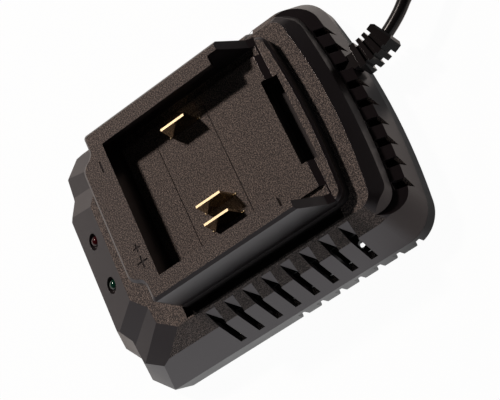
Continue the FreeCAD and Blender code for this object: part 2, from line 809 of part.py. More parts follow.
def make_lower_housing():
    chamfer_level = size.foot_height + size.tray_chamfer
    wall = size.tray_wall
    tray = ruled(tray_outline(chamfer_level, 0), tray_outline(seam_level, 0))
    tray = tray.fuse(ruled(tray_outline(size.foot_height, size.tray_chamfer), tray_outline(chamfer_level, 0)))
    tray = tray.cut(ruled(tray_outline(floor_top, wall), tray_outline(seam_level + 1, wall)))
    shelf_low = seam_level - size.tray_shelf
    tongue_top = seam_level + size.tongue_height
    step = size.shell_wall * 1.1 + size.seam_gap
    shelf = ruled(tray_outline(shelf_low, wall - 0.4), tray_outline(seam_level, wall - 0.4))
    tongue = ruled(seam_outline(seam_level - 1, step),
                   seam_outline(tongue_top, step, tongue_top - seam_level))
    within = step + size.tongue_wall
    hollow = ruled(seam_outline(shelf_low - 1, within),
                   seam_outline(tongue_top + 1, within, tongue_top + 1 - seam_level))
    rim = shelf.fuse(tongue).cut(hollow)
    posts = [post(x, y, size.foot_height + 0.5, seam_level, size.boss_diameter)
             for x, y in housing_screw_places]
    posts += [post(x, y, size.foot_height + 0.5, board_bottom, size.board_boss_diameter)
              for x, y in board_screw_places]
    saddle = block(size.boot_x - size.clamp_half, size.boot_x + size.clamp_half,
                   size.clamp_y - size.clamp_width / 2, size.clamp_y + size.clamp_width / 2,
                   size.foot_height + 0.5, size.boot_height - size.seam_gap / 2)
    tray = tray.fuse([rim, saddle] + posts)
    cuts = [cord_bore(size.clamp_y - 10, size.clamp_y + 10, size.screw_gap / 2)]
    slot_top = seam_level - size.tray_slot_head
    for index in range(int(size.tray_slot_count)):
        start = size.tray_slot_start + index * size.tray_slot_pitch
        cuts += both(block(size.tray_slot_inner, size.seam_side + 5, start, start + size.tray_slot_width,
                           0, slot_top))
    half = size.floor_slot_width / 2
    for middle in spread(size.floor_slot_count, size.floor_slot_pitch, size.floor_slot_middle):
        cuts += both(block(size.floor_slot_x - half, size.floor_slot_x + half,
                           middle - size.floor_slot_length / 2, middle + size.floor_slot_length / 2,
                           0, floor_top + 1))
    cuts += both(post(size.drain_x, size.drain_y, 0, floor_top + 1, size.drain_diameter))
    for x, y in housing_screw_places:
        cuts.append(post(x, y, 0, housing_screw_seat, size.screw_head + 0.8))
        cuts.append(post(x, y, 0, seam_level + 1, size.screw_diameter + size.screw_gap))
    cuts += [post(x, y, board_screw_tip - 0.2, board_bottom + 1, size.small_screw_diameter + size.screw_gap)
             for x, y in board_screw_places]
    cuts += [post(x, y, clamp_tip - 0.4, clamp_top, size.small_screw_diameter + size.screw_gap)
             for x, y in clamp_places]
    cuts += [post(x, y, 0, size.foot_height + size.foot_recess, size.foot_diameter + size.screw_gap)
             for x, y in foot_places]
    plate = size.rating_plate_length / 2
    cuts.append(block(-plate, plate, -size.rating_plate_width / 2, size.rating_plate_width / 2,
                      0, size.foot_height + size.rating_plate_depth))
    return tray.cut(cuts)


lower_housing = feature("lower_housing", make_lower_housing())


# Turned and routed pieces

def lamp_shape():
    """A round lamp on its own axis, its base at the origin: a domed lens above a flange."""
    radius = size.lamp_diameter / 2
    straight = size.lamp_length - radius
    lens = Part.makeCylinder(radius, straight).fuse(Part.makeSphere(radius, Vector(0, 0, straight)))
    return lens.fuse(Part.makeCylinder(size.lamp_flange / 2, 1)).removeSplitter()


lamp_turn = Rotation(UP, lamp_axis)
red_lamp = feature("red_lamp", lamp_shape(), Placement(lamp_point(lamp_places[0], lamp_base), lamp_turn))
green_lamp = feature("green_lamp", lamp_shape(), Placement(lamp_point(lamp_places[1], lamp_base), lamp_turn))


def rounded_path(points):
    """Straight runs joined by arcs, each arc as large as its two runs allow. Returns edges and radii."""
    edges = []
    radii = []
    here = points[0]
    for before, corner, after in zip(points, points[1:], points[2:]):
        arriving = (corner - before).normalize()
        leaving = (after - corner).normalize()
        half = acos(max(-1.0, min(1.0, arriving.dot(leaving)))) / 2
        reach = 0.45 * min((corner - before).Length, (after - corner).Length)
        radius = reach / tan(half)
        start = corner - arriving * reach
        end = corner + leaving * reach
        inward = (leaving - arriving).normalize()
        middle = corner + inward * (radius / cos(half) - radius)
        edges.append(Part.LineSegment(here, start).toShape())
        edges.append(arc(start, middle, end))
        radii.append(radius)
        here = end
    edges.append(Part.LineSegment(here, points[-1]).toShape())
    return edges, radii


def tube(points, diameter, name=None):
    """A round tube along a rounded path."""
    edges, radii = rounded_path(points)
    wire = Part.Wire(edges)
    circle = Part.Wire(Part.makeCircle(diameter / 2, points[0], points[1] - points[0]))
    solid = wire.makePipeShell([circle], True, False)
    if name:
        share = solid.Volume / (pi * diameter ** 2 / 4 * wire.Length)
        print(name, "radii", [round(radius, 1) for radius in radii],
              "volume share %.4f" % share, "length %.1f" % wire.Length)
    return solid


def leads(node, routes, diameter):
    return feature(node, Part.makeCompound([tube(route, diameter) for route in routes]))


# The boot bends away along an arc
bend_centre = Vector(size.boot_x - size.boot_bend_radius, size.boot_start_y, size.boot_height)


def boot_angle(along):
    return along / size.boot_bend_radius * 180 / pi


def boot_square(along, width):
    """A square wire across the boot, a distance along its bend."""
    half = width / 2
    corners = [(-half, -half), (half, -half), (half, half), (-half, half), (-half, -half)]
    wire = Part.makePolygon([Vector(size.boot_bend_radius + x, 0, z) for x, z in corners])
    wire.rotate(Vector(), UP, boot_angle(along))
    wire.translate(bend_centre)
    return wire


def boot_rib(start, length, width):
    return Part.Face(boot_square(start, width)).revolve(bend_centre, UP, boot_angle(length))


boot_length = radians(size.boot_turn) * size.boot_bend_radius
boot_end_start = boot_length - size.boot_end_rib


def make_boot():
    gap = size.boot_rib_pitch - size.boot_rib
    first_rib = size.boot_base + gap
    ribs = [boot_rib(0, size.boot_base, size.boot_square)]
    ribs += [boot_rib(first_rib + index * size.boot_rib_pitch, size.boot_rib, size.boot_square)
             for index in range(2)]
    ribs.append(boot_rib(boot_end_start, size.boot_end_rib - size.boot_chamfer, size.boot_square))
    ribs.append(ruled(boot_square(boot_length - size.boot_chamfer, size.boot_square),
                      boot_square(boot_length, size.boot_square - 2 * size.boot_chamfer)))
    core = boot_rib(0, boot_end_start + 0.5, size.boot_core)
    neck_half = size.boot_neck / 2
    collar_half = size.boot_collar / 2
    collar_start = size.boot_collar_y - size.boot_collar_thickness
    neck = block(size.boot_x - neck_half, size.boot_x + neck_half, collar_start, size.boot_start_y + 0.5,
                 size.boot_height - neck_half, size.boot_height + neck_half)
    collar = block(size.boot_x - collar_half, size.boot_x + collar_half, collar_start, size.boot_collar_y,
                   size.boot_height - collar_half + 0.4, size.boot_height + neck_half)
    return core.fuse(ribs + [neck, collar]).removeSplitter(), collar_start


boot_shape, boot_inner_face = make_boot()
strain_relief_boot = feature("strain_relief_boot", boot_shape)
boot_turn = radians(size.boot_turn)
boot_exit = bend_centre + Vector(cos(boot_turn), sin(boot_turn), 0) * size.boot_bend_radius
boot_heading = Vector(-sin(boot_turn), cos(boot_turn), 0)
inner_cord = feature("inner_cord", cord_bore(size.inner_cord_end, boot_inner_face, 0))

# The cord runs free from the boot, lies in two layers of loops, and ends at its plug
layer_low = size.tie_thickness + size.tie_gap + size.cord_diameter / 2
layer_high = layer_low + size.coil_climb
coil_start = Vector(size.coil_x + size.coil_radius, size.coil_y, layer_high)
free_route = [
    boot_exit,
    boot_exit + boot_heading * 7.5,
    Vector(-30.4, 109.8, 17.2),
    Vector(-34.5, 120.2, 13.5),
    coil_start - Vector(0, 7.5, 0),
    coil_start,
]
mains_cord = feature("mains_cord", tube(free_route, size.cord_diameter, "mains_cord"))


def coil_arcs():
    """Half turns that draw in by half a pitch each, drop a layer, and spread out again."""
    x = coil_start.x
    y = size.coil_y
    radial = size.coil_radius
    side = 1
    way = 1
    level = layer_high
    arcs = []
    count = int(size.coil_half_turns)
    for index in range(2 * count + 1):
        if index == count:
            new_radial = radial
            new_level = layer_low
        else:
            new_radial = radial - size.coil_pitch / 2 if index < count else radial + size.coil_pitch / 2
            new_level = level
        start = Vector(size.coil_x + side * radial, y, level)
        end = Vector(size.coil_x - side * new_radial, y, new_level)
        radius = (end - start).Length / 2
        middle = (start + end) / 2 + Vector(0, way * radius, 0)
        arcs.append(Part.Arc(start, middle, end))
        side = -side
        way = -way
        radial = new_radial
        level = new_level
    return arcs


def least_gap(arcs, diameter, step=1.5):
    """The least gap of a wound tube to itself, measured on points along its middle line."""
    points = []
    along = 0.0
    for curve in arcs:
        count = max(8, int(curve.length() / step))
        span = curve.LastParameter - curve.FirstParameter
        for index in range(count):
            where = curve.value(curve.FirstParameter + span * index / count)
            points.append((along + curve.length() * index / count, where.x, where.y, where.z))
        along += curve.length()
    least = 1e9
    for first, (along_a, xa, ya, za) in enumerate(points):
        for along_b, xb, yb, zb in points[first + 1:]:
            if along_b - along_a > 6 * diameter:
                distance = (xa - xb) ** 2 + (ya - yb) ** 2 + (za - zb) ** 2
                least = min(least, distance)
    return sqrt(least) - diameter, along


coil_curves = coil_arcs()
coil_gap, coil_length = least_gap(coil_curves, size.cord_diameter)
print("cord_coil least gap %.2f, length %.0f" % (coil_gap, coil_length))
coil_wire = Part.Wire([curve.toShape() for curve in coil_curves])
coil_section = Part.Wire(Part.makeCircle(size.cord_diameter / 2, coil_start, Vector(0, 1, 0)))
cord_coil = feature("cord_coil", coil_wire.makePipeShell([coil_section], True, False))
coil_end = Vector(size.coil_x - size.coil_radius, size.coil_y, layer_low)
plug_centre_z = size.plug_thickness / 2
tail_route = [
    coil_end,
    coil_end - Vector(0, 10, 0),
    Vector(-117.4, 115.0, 4.8),
    Vector(size.plug_x, size.plug_rear_y + 12, plug_centre_z),
    Vector(size.plug_x, size.plug_rear_y, plug_centre_z),
]
cord_tail = feature("cord_tail", tube(tail_route, size.cord_diameter, "cord_tail"))

# Pieces made of sketches and primitives, bound to the sheet

BOARD_LEVEL = "(Sizes.foot_height + Sizes.tray_floor + Sizes.board_boss_height)"
BOARD_TOP = "(%s + Sizes.board_thickness)" % BOARD_LEVEL
SEAM = "(Sizes.foot_height + Sizes.tray_height)"
FLOOR = "(%s + Sizes.shell_height + Sizes.deck_rise - Sizes.well_depth)" % SEAM
HEAT_SINK_X = "(Sizes.deck_half - Sizes.heat_sink_inset)"
TERMINAL_TOP = "(%s - Sizes.block_height)" % FLOOR
TERMINAL_LEVEL = "(%s - Sizes.board_thickness)" % TERMINAL_TOP
DECK_BOTTOM = "(%s + Sizes.shell_height - Sizes.shell_wall - Sizes.deck_foot)" % SEAM
BLOCK_FRONT = "(Sizes.deck_shoulder_y + Sizes.block_start)"
BLOCK_REAR = "(%s + Sizes.block_length)" % BLOCK_FRONT


def plane(body, role):
    return [item for item in body.Origin.OriginFeatures if item.Role == role][0]


def bind(thing, **cells):
    """Bind properties of an object to expressions; x, y and z are its position."""
    for name, expression in cells.items():
        prop = "Placement.Base." + name if name in "xyz" else name
        thing.setExpression(prop, expression)
    return thing


def sketch(body, role, corners, name):
    """A closed polygon whose corners are bound to expressions for their two coordinates."""
    drawing = body.newObject("Sketcher::SketchObject", name)
    drawing.AttachmentSupport = (plane(body, role), [""])
    drawing.MapMode = "FlatFace"
    count = len(corners)
    seeds = [Vector(50 * cos(2 * pi * index / count), 50 * sin(2 * pi * index / count), 0)
             for index in range(count)]
    for index in range(count):
        drawing.addGeometry(Part.LineSegment(seeds[index], seeds[(index + 1) % count]), False)
    for index in range(count):
        drawing.addConstraint(Sketcher.Constraint("Coincident", index, 2, (index + 1) % count, 1))
    for index, corner in enumerate(corners):
        for kind, expression, seed in zip(("DistanceX", "DistanceY"), corner, seeds[index]):
            number = drawing.addConstraint(Sketcher.Constraint(kind, -1, 1, index, 1, seed))
            drawing.setExpression("Constraints[%d]" % number, expression)
    return drawing


def rectangle(x1, x2, y1, y2):
    return [(x1, y1), (x2, y1), (x2, y2), (x1, y2)]


def padded(body, role, corners, length, name="outline"):
    """A pad of a polygon, on both sides of its plane or up from it."""
    pad = body.newObject("PartDesign::Pad", name + "_pad")
    pad.Profile = sketch(body, role, corners, name)
    pad.SideType = "Symmetric" if role != "XY_Plane" else "One side"
    pad.setExpression("Length", length)
    body.Tip = pad
    return pad


def holes_in(body, places, diameter, name):
    """Round holes through a pad on the XY plane, each bound to its place."""
    drawing = body.newObject("Sketcher::SketchObject", name)
    drawing.AttachmentSupport = (plane(body, "XY_Plane"), [""])
    drawing.MapMode = "FlatFace"
    for index, (x, y) in enumerate(places):
        drawing.addGeometry(Part.Circle(Vector(10 * index + 5, 5, 0), UP, 1), False)
        radius = drawing.addConstraint(Sketcher.Constraint("Radius", index, 1))
        drawing.setExpression("Constraints[%d]" % radius, "(%s) / 2" % diameter)
        for kind, expression, seed in (("DistanceX", x, 10 * index + 5), ("DistanceY", y, 5)):
            number = drawing.addConstraint(Sketcher.Constraint(kind, -1, 1, index, 3, seed))
            drawing.setExpression("Constraints[%d]" % number, expression)
    pocket = body.newObject("PartDesign::Pocket", name + "_pocket")
    pocket.Profile = drawing
    pocket.Type = "ThroughAll"
    pocket.Midplane = True
    body.Tip = pocket
    return pocket


def new_body(node):
    return keep(node, doc.addObject("PartDesign::Body", node))


def box(name, length, width, height, x, y, z):
    """A box bound to the sheet: its middle in x and y, and its underside in z."""
    thing = doc.addObject("Part::Box", name)
    return bind(thing, Length=length, Width=width, Height=height,
                x="%s - (%s) / 2" % (x, length), y="%s - (%s) / 2" % (y, width), z=z)


def rod(name, diameter, height, x, y, z, axis=UP):
    """A cylinder bound to the sheet, from a point along an axis."""
    thing = doc.addObject("Part::Cylinder", name)
    thing.Placement = Placement(Vector(), Rotation(UP, axis))
    return bind(thing, Radius="(%s) / 2" % diameter, Height=height, x=x, y=y, z=z)


def joined(name, things):
    fuse = doc.addObject("Part::MultiFuse", name)
    fuse.Shapes = things
    return fuse


def group(name, things):
    compound = doc.addObject("Part::Compound", name)
    compound.Links = things
    return compound


def carved(name, base, tool):
    cut = doc.addObject("Part::Cut", name)
    cut.Base = base
    cut.Tool = tool
    return cut


def signs(expression):
    return ["-(%s)" % expression, "(%s)" % expression]


def screw(name, kind, x, y, seat, up):
    """A screw seated on a level, its head under it where it points up and over it where it points down."""
    head_height = "Sizes.%s_head_height" % kind
    length = "Sizes.%s_length" % kind
    head_low = "%s - %s" % (seat, head_height) if up else seat
    shank_low = seat if up else "%s - %s" % (seat, length)
    head = rod(name + "_head", "Sizes.%s_head" % kind, head_height, x, y, head_low)
    shank = rod(name + "_shank", "Sizes.%s_diameter" % kind, length, x, y, shank_low)
    recess_low = "%s - %s - 0.1" % (seat, head_height) if up else "%s + %s - 1.1" % (seat, head_height)
    wings = [box(name + "_wing_%d" % turn, "Sizes.head_recess" if turn else "0.8",
                 "0.8" if turn else "Sizes.head_recess", "1.2", x, y, recess_low) for turn in range(2)]
    return carved(name, joined(name + "_form", [head, shank]), joined(name + "_recess", wings))


def screws(node, kind, places, seat, up):
    made = [screw("%s_%d" % (node, number), kind, x, y, seat, up)
            for number, (x, y) in enumerate(places, start=1)]
    return keep(node, group(node, made))


FRONT_EARS = [(x, "Sizes.front_boss_y") for x in signs("Sizes.ear_x")]
EAR_REAR = "(Sizes.deck_shoulder_y + Sizes.ledge_rear + Sizes.ear_boss_diameter / 2 + 1.5)"
REAR_EARS = [(x, EAR_REAR) for x in signs("Sizes.ear_x")]
BOARD_HOLES = [(x, y) for x in signs("Sizes.board_boss_x")
               for y in ("(Sizes.board_front + Sizes.board_boss_inset)",
                         "(Sizes.board_front + Sizes.board_length - Sizes.board_boss_inset)")]
TERMINAL_HOLES = [(x, y) for x in signs("Sizes.terminal_board_hole_x")
                  for y in ("(%s - Sizes.terminal_board_hole_inset)" % BLOCK_FRONT,
                            "(%s + Sizes.terminal_board_hole_inset)" % BLOCK_REAR)]
HOUSING_HOLES = ([(x, "Sizes.front_boss_y") for x in signs("Sizes.front_boss_x")]
                 + [(x, "Sizes.rear_boss_y") for x in signs("Sizes.rear_boss_x")])
HOUSING_SEAT = "(Sizes.foot_height + Sizes.screw_head_height + 0.5)"
CLAMP_SEAT = "(Sizes.boot_height + Sizes.seam_gap / 2)"
CLAMP_TOP = "(%s + Sizes.clamp_bar)" % CLAMP_SEAT
CLAMP_HOLES = [("(Sizes.boot_x + %s)" % x, "Sizes.clamp_y") for x in signs("Sizes.clamp_screw_x")]
screws("deck_screws", "small_screw", FRONT_EARS + REAR_EARS, DECK_BOTTOM, True)
screws("board_screws", "small_screw", BOARD_HOLES, BOARD_TOP, False)
screws("terminal_board_screws", "small_screw", TERMINAL_HOLES, TERMINAL_LEVEL, True)
screws("housing_screws", "screw", HOUSING_HOLES, HOUSING_SEAT, True)
screws("clamp_screws", "small_screw", CLAMP_HOLES, CLAMP_TOP, False)

# Boards
HOLE = "(Sizes.small_screw_diameter + Sizes.screw_gap)"
circuit_board = new_body("circuit_board")
padded(circuit_board, "XY_Plane", rectangle("-Sizes.board_half", "Sizes.board_half", "Sizes.board_front",
                                            "Sizes.board_front + Sizes.board_length"),
       "Sizes.board_thickness")
holes_in(circuit_board, BOARD_HOLES, HOLE, "board_holes")
bind(circuit_board, z=BOARD_LEVEL)

terminal_board = new_body("terminal_board")
padded(terminal_board, "XY_Plane", rectangle("-Sizes.terminal_board_half", "Sizes.terminal_board_half",
                                             "%s - Sizes.terminal_board_margin" % BLOCK_FRONT,
                                             "%s + Sizes.terminal_board_margin" % BLOCK_REAR),
       "Sizes.board_thickness")
holes_in(terminal_board, TERMINAL_HOLES, HOLE, "terminal_holes")
bind(terminal_board, z=TERMINAL_LEVEL)

lamp_board = new_body("lamp_board")
padded(lamp_board, "XY_Plane", rectangle("-Sizes.lamp_board_half", "Sizes.lamp_board_half",
                                         "-Sizes.lamp_board_width / 2", "Sizes.lamp_board_width / 2"),
       "Sizes.lamp_board_thickness")
holes_in(lamp_board, [(x, "0") for x in signs("Sizes.lamp_screw_x")], HOLE, "lamp_holes")
lamp_board.Placement = Placement(lamp_point(0, lamp_base + size.lamp_board_thickness), lamp_turn)


def small_screw_shape():
    """A small screw with its head seated on the origin, pointing up."""
    head = Part.makeCylinder(size.small_screw_head / 2, size.small_screw_head_height,
                             Vector(0, 0, -size.small_screw_head_height))
    shank = Part.makeCylinder(size.small_screw_diameter / 2, size.small_screw_length)
    low = -size.small_screw_head_height - 0.1
    wings = [Part.makeBox(a, b, 1.2, Vector(-a / 2, -b / 2, low))
             for a, b in ((size.head_recess, 0.8), (0.8, size.head_recess))]
    return head.fuse(shank).cut(wings)


def lamp_screw(x):
    copy = small_screw_shape()
    copy.Placement = Placement(lamp_point(x, lamp_base + size.lamp_board_thickness), lamp_turn)
    return copy


feature("lamp_board_screws", Part.makeCompound([lamp_screw(x) for x in lamp_screw_places]))

# The contact block and its three blades
BLADES = (("negative_blade", "-Sizes.blade_outer"),
          ("charge_blade", "(Sizes.blade_outer - Sizes.blade_pitch)"),
          ("positive_blade", "Sizes.blade_outer"))
BLADE_Y = "(Sizes.deck_shoulder_y + Sizes.blade_start)"
TAIL_Y = "(%s + (Sizes.blade_length - Sizes.blade_tail_width) / 2)" % BLADE_Y
terminal_block = new_body("terminal_block")
padded(terminal_block, "XY_Plane", rectangle("-Sizes.block_half + Sizes.seam_gap",
                                             "Sizes.block_half - Sizes.seam_gap",
                                             "%s + Sizes.seam_gap" % BLOCK_FRONT,
                                             "%s - Sizes.seam_gap" % BLOCK_REAR), "Sizes.block_height")
padded(terminal_block, "XY_Plane", rectangle("-Sizes.block_half - Sizes.block_foot",
                                             "Sizes.block_half + Sizes.block_foot",
                                             "%s - Sizes.block_foot" % BLOCK_FRONT,
                                             "%s + Sizes.block_foot" % BLOCK_REAR),
       "Sizes.block_height - Sizes.groove_drop - Sizes.well_floor", "foot")
bind(terminal_block, z=TERMINAL_TOP)
for number, (node, x) in enumerate(BLADES):
    slot = terminal_block.newObject("PartDesign::Pocket", "slot_%d" % number)
    half = "(Sizes.blade_thickness / 2 + 0.05)"
    slot.Profile = sketch(terminal_block, "XY_Plane", rectangle(
        "%s - %s" % (x, half), "%s + %s" % (x, half), "%s - 0.05" % TAIL_Y,
        "%s + Sizes.blade_tail_width + 0.05" % TAIL_Y), "slot_outline_%d" % number)
    slot.Type = "ThroughAll"
    slot.Midplane = True
    terminal_block.Tip = slot
    blade = new_body(node)
    padded(blade, "YZ_Plane", [
        ("0", "0"),
        ("Sizes.blade_length / 2 - Sizes.blade_tail_width / 2", "0"),
        ("Sizes.blade_length / 2 - Sizes.blade_tail_width / 2", "-Sizes.block_height"),
        ("Sizes.blade_length / 2 + Sizes.blade_tail_width / 2", "-Sizes.block_height"),
        ("Sizes.blade_length / 2 + Sizes.blade_tail_width / 2", "0"),
        ("Sizes.blade_length", "0"),
        ("Sizes.blade_length - Sizes.blade_taper", "Sizes.blade_height"),
        ("Sizes.blade_taper", "Sizes.blade_height"),
    ], "Sizes.blade_thickness")
    bind(blade, x=x, y=BLADE_Y, z=FLOOR)

# Feet
feet = [rod("foot_%d" % number, "Sizes.foot_diameter", "Sizes.foot_height + Sizes.foot_recess", x, y, "0")
        for number, (x, y) in enumerate(
            [(x, "Sizes.foot_front_y") for x in signs("Sizes.foot_front_x")]
            + [(x, "Sizes.foot_rear_y") for x in signs("Sizes.foot_rear_x")])]
keep("rubber_feet", group("rubber_feet", feet))

# Transformer: a core of three legs, a bobbin on the middle one, and its winding
CORE_X = "Sizes.transformer_x"
CORE_Y = "Sizes.transformer_y"
WINDOW_LOW = "(%s + Sizes.core_yoke)" % BOARD_TOP
WINDOW_HEIGHT = "(Sizes.core_height - 2 * Sizes.core_yoke)"
WINDOW_WIDTH = "((Sizes.core_length - Sizes.core_leg - 2 * Sizes.core_yoke) / 2)"
core_form = box("core_form", "Sizes.core_length", "Sizes.core_width", "Sizes.core_height", CORE_X, CORE_Y,
                BOARD_TOP)
core_windows = joined("core_windows", [
    box("core_window_%d" % number, WINDOW_WIDTH, "Sizes.core_width + 2", WINDOW_HEIGHT,
        "%s %s (Sizes.core_leg + %s) / 2" % (CORE_X, sign, WINDOW_WIDTH), CORE_Y, WINDOW_LOW)
    for number, sign in enumerate("-+")])
keep("transformer_core", carved("transformer_core", core_form, core_windows))
SLEEVE_X = "(Sizes.core_leg + 2 * Sizes.core_gap + 2 * Sizes.bobbin_wall)"
SLEEVE_Y = "(Sizes.core_width + 2 * Sizes.core_gap + 2 * Sizes.bobbin_wall)"
REEL_LOW = "(%s + Sizes.core_gap)" % WINDOW_LOW
REEL_HEIGHT = "(%s - 2 * Sizes.core_gap)" % WINDOW_HEIGHT
FLANGE_X = "(Sizes.core_leg + 2 * %s - 2 * Sizes.core_gap)" % WINDOW_WIDTH
flanges = [box("bobbin_flange_%d" % number, FLANGE_X, "Sizes.bobbin_width", "Sizes.bobbin_wall",
               CORE_X, CORE_Y, z)
           for number, z in enumerate((REEL_LOW, "%s + %s - Sizes.bobbin_wall" % (REEL_LOW, REEL_HEIGHT)))]
FOOT_DEPTH = "((Sizes.bobbin_width - Sizes.core_width) / 2 - Sizes.core_gap)"
bobbin_feet = [box("bobbin_foot_%d" % number, FLANGE_X, FOOT_DEPTH, "%s - %s" % (REEL_LOW, BOARD_TOP), CORE_X,
                   "%s %s (Sizes.bobbin_width - %s) / 2" % (CORE_Y, sign, FOOT_DEPTH), BOARD_TOP)
               for number, sign in enumerate("-+")]
sleeve = box("bobbin_sleeve", SLEEVE_X, SLEEVE_Y, REEL_HEIGHT, CORE_X, CORE_Y, REEL_LOW)
leg_hole = box("bobbin_hole", "Sizes.core_leg + 2 * Sizes.core_gap", "Sizes.core_width + 2 * Sizes.core_gap",
               "%s + 2" % REEL_HEIGHT, CORE_X, CORE_Y, "%s - 1" % REEL_LOW)
keep("transformer_bobbin", carved("transformer_bobbin",
                                  joined("bobbin_form", flanges + bobbin_feet + [sleeve]), leg_hole))
WINDING_HEIGHT = "(%s - 2 * Sizes.bobbin_wall - 2 * Sizes.core_gap)" % REEL_HEIGHT
WINDING_LOW = "(%s + Sizes.bobbin_wall + Sizes.core_gap)" % REEL_LOW
winding_form = box("winding_form", "%s + 2 * Sizes.winding_depth" % SLEEVE_X,
                   "%s + 2 * Sizes.winding_depth" % SLEEVE_Y, WINDING_HEIGHT, CORE_X, CORE_Y, WINDING_LOW)
winding_hole = box("winding_hole", "%s + 2 * Sizes.core_gap" % SLEEVE_X, "%s + 2 * Sizes.core_gap" % SLEEVE_Y,
                   "%s + 2" % WINDING_HEIGHT, CORE_X, CORE_Y, "%s - 1" % WINDING_LOW)
keep("transformer_winding", carved("transformer_winding", winding_form, winding_hole))

# Capacitors, choke, fuse, relay and chip, each standing on the board
along_y = Vector(0, 1, 0)
keep("mains_capacitor", rod("mains_capacitor", "Sizes.mains_capacitor_diameter",
                            "Sizes.mains_capacitor_length", "Sizes.mains_capacitor_x",
                            "Sizes.mains_capacitor_y",
                            "%s + Sizes.mains_capacitor_diameter / 2" % BOARD_TOP, along_y))
keep("output_capacitors", group("output_capacitors", [
    rod("output_capacitor_%d" % number, "Sizes.output_capacitor_diameter", "Sizes.output_capacitor_height",
        "Sizes.output_capacitor_x + %d * (Sizes.output_capacitor_diameter + 2)" % number,
        "Sizes.output_capacitor_y", BOARD_TOP) for number in range(2)]))
choke = doc.addObject("Part::Torus", "choke_ring")
choke.Placement = Placement(Vector(), Rotation(UP, along_y))
bind(choke, Radius1="(Sizes.choke_width - Sizes.choke_wire) / 2", Radius2="Sizes.choke_wire / 2",
     x="Sizes.choke_x", y="Sizes.choke_y", z="%s + 2 + Sizes.choke_width / 2" % BOARD_TOP)
choke_base = box("choke_base", "Sizes.choke_width", "Sizes.choke_wire + 4", "3", "Sizes.choke_x",
                 "Sizes.choke_y", BOARD_TOP)
keep("line_choke", joined("line_choke", [choke, choke_base]))
keep("filter_capacitor", box("filter_capacitor", "Sizes.filter_capacitor_length",
                             "Sizes.filter_capacitor_width", "Sizes.filter_capacitor_height",
                             "Sizes.filter_capacitor_x",
                             "Sizes.filter_capacitor_y", BOARD_TOP))
FUSE_Z = "(%s + 1 + Sizes.fuse_diameter / 2)" % BOARD_TOP
glass = rod("fuse_glass", "Sizes.fuse_diameter", "Sizes.fuse_length", "Sizes.fuse_x", "Sizes.fuse_y", FUSE_Z,
            along_y)
clips = [box("fuse_clip_%d" % number, "Sizes.fuse_diameter + 1", "4", "Sizes.fuse_diameter / 2 + 1",
             "Sizes.fuse_x", y, BOARD_TOP)
         for number, y in enumerate(("(Sizes.fuse_y + 3)", "(Sizes.fuse_y + Sizes.fuse_length - 3)"))]
keep("fuse", joined("fuse", [glass] + clips))
keep("relay", box("relay", "Sizes.relay_length", "Sizes.relay_width", "Sizes.relay_height", "Sizes.relay_x",
                  "Sizes.relay_y", BOARD_TOP))
chip_body = box("chip_body", "Sizes.chip_length", "Sizes.chip_width", "Sizes.chip_height", "Sizes.chip_x",
                "Sizes.chip_y", "%s + 0.2" % BOARD_TOP)
chip_legs = [box("chip_leg_%d" % number, "0.5", "Sizes.chip_width + 2", "0.8",
                 "Sizes.chip_x + %.2f * Sizes.chip_length" % ((number - 1.5) / 4), "Sizes.chip_y", BOARD_TOP)
             for number in range(4)]
keep("controller_chip", joined("controller_chip", [chip_body] + chip_legs))
keep("mains_terminal", box("mains_terminal", "Sizes.mains_terminal_width", "Sizes.mains_terminal_length",
                           "Sizes.mains_terminal_height", "Sizes.boot_x", "Sizes.mains_terminal_y",
                           BOARD_TOP))

# Heat sink with its fins, and the two power devices against it
heat_sink = new_body("heat_sink")
fins = int(size.heat_sink_fins)
edge = "Sizes.heat_sink_thickness"
tip = "(Sizes.heat_sink_thickness + Sizes.heat_sink_fin)"
comb = [("0", "0")]
for number in range(fins):
    low = "(Sizes.heat_sink_length - 2) / %d * %d" % (fins - 1, number)
    high = "%s + 2" % low
    comb += [(tip, low), (tip, high)]
    if number < fins - 1:
        comb += [(edge, high), (edge, "(Sizes.heat_sink_length - 2) / %d * %d" % (fins - 1, number + 1))]
comb += [("0", "Sizes.heat_sink_length")]
padded(heat_sink, "XY_Plane", comb, "Sizes.heat_sink_height")
bind(heat_sink, x=HEAT_SINK_X, y="Sizes.heat_sink_y", z=BOARD_TOP)
devices = []
for number, share in enumerate((0.25, 0.75)):
    y = "Sizes.heat_sink_y + %.2f * Sizes.heat_sink_length" % share
    x = "%s - Sizes.transistor_thickness / 2" % HEAT_SINK_X
    case = box("device_case_%d" % number, "Sizes.transistor_thickness", "Sizes.transistor_width",
               "Sizes.transistor_height - 6", x, y, "%s + 4" % BOARD_TOP)
    tab = box("device_tab_%d" % number, "1.3", "Sizes.transistor_width", "Sizes.transistor_height",
              "%s - 0.65" % HEAT_SINK_X, y, "%s + 4" % BOARD_TOP)
    legs = [box("device_leg_%d_%d" % (number, leg), "0.6", "0.9", "4.2", x,
                "%s + %.2f" % (y, 2.54 * (leg - 1)), BOARD_TOP) for leg in range(3)]
    devices.append(joined("device_%d" % number, [case, tab] + legs))
keep("power_transistors", group("power_transistors", devices))

# Cord clamp, with a groove for the cord
bar = box("clamp_bar", "2 * Sizes.clamp_half", "Sizes.clamp_width", "Sizes.clamp_bar", "Sizes.boot_x",
          "Sizes.clamp_y", CLAMP_SEAT)
groove = rod("clamp_groove", "Sizes.cord_diameter + Sizes.screw_gap", "Sizes.clamp_width + 2", "Sizes.boot_x",
             "Sizes.clamp_y - Sizes.clamp_width / 2 - 1", "Sizes.boot_height", along_y)
clamp_bores = [rod("clamp_bore_%d" % number, HOLE, "Sizes.clamp_bar + 2", x, y, "%s - 1" % CLAMP_SEAT)
               for number, (x, y) in enumerate(CLAMP_HOLES)]
keep("cord_clamp", carved("cord_clamp", bar, joined("clamp_cuts", [groove] + clamp_bores)))

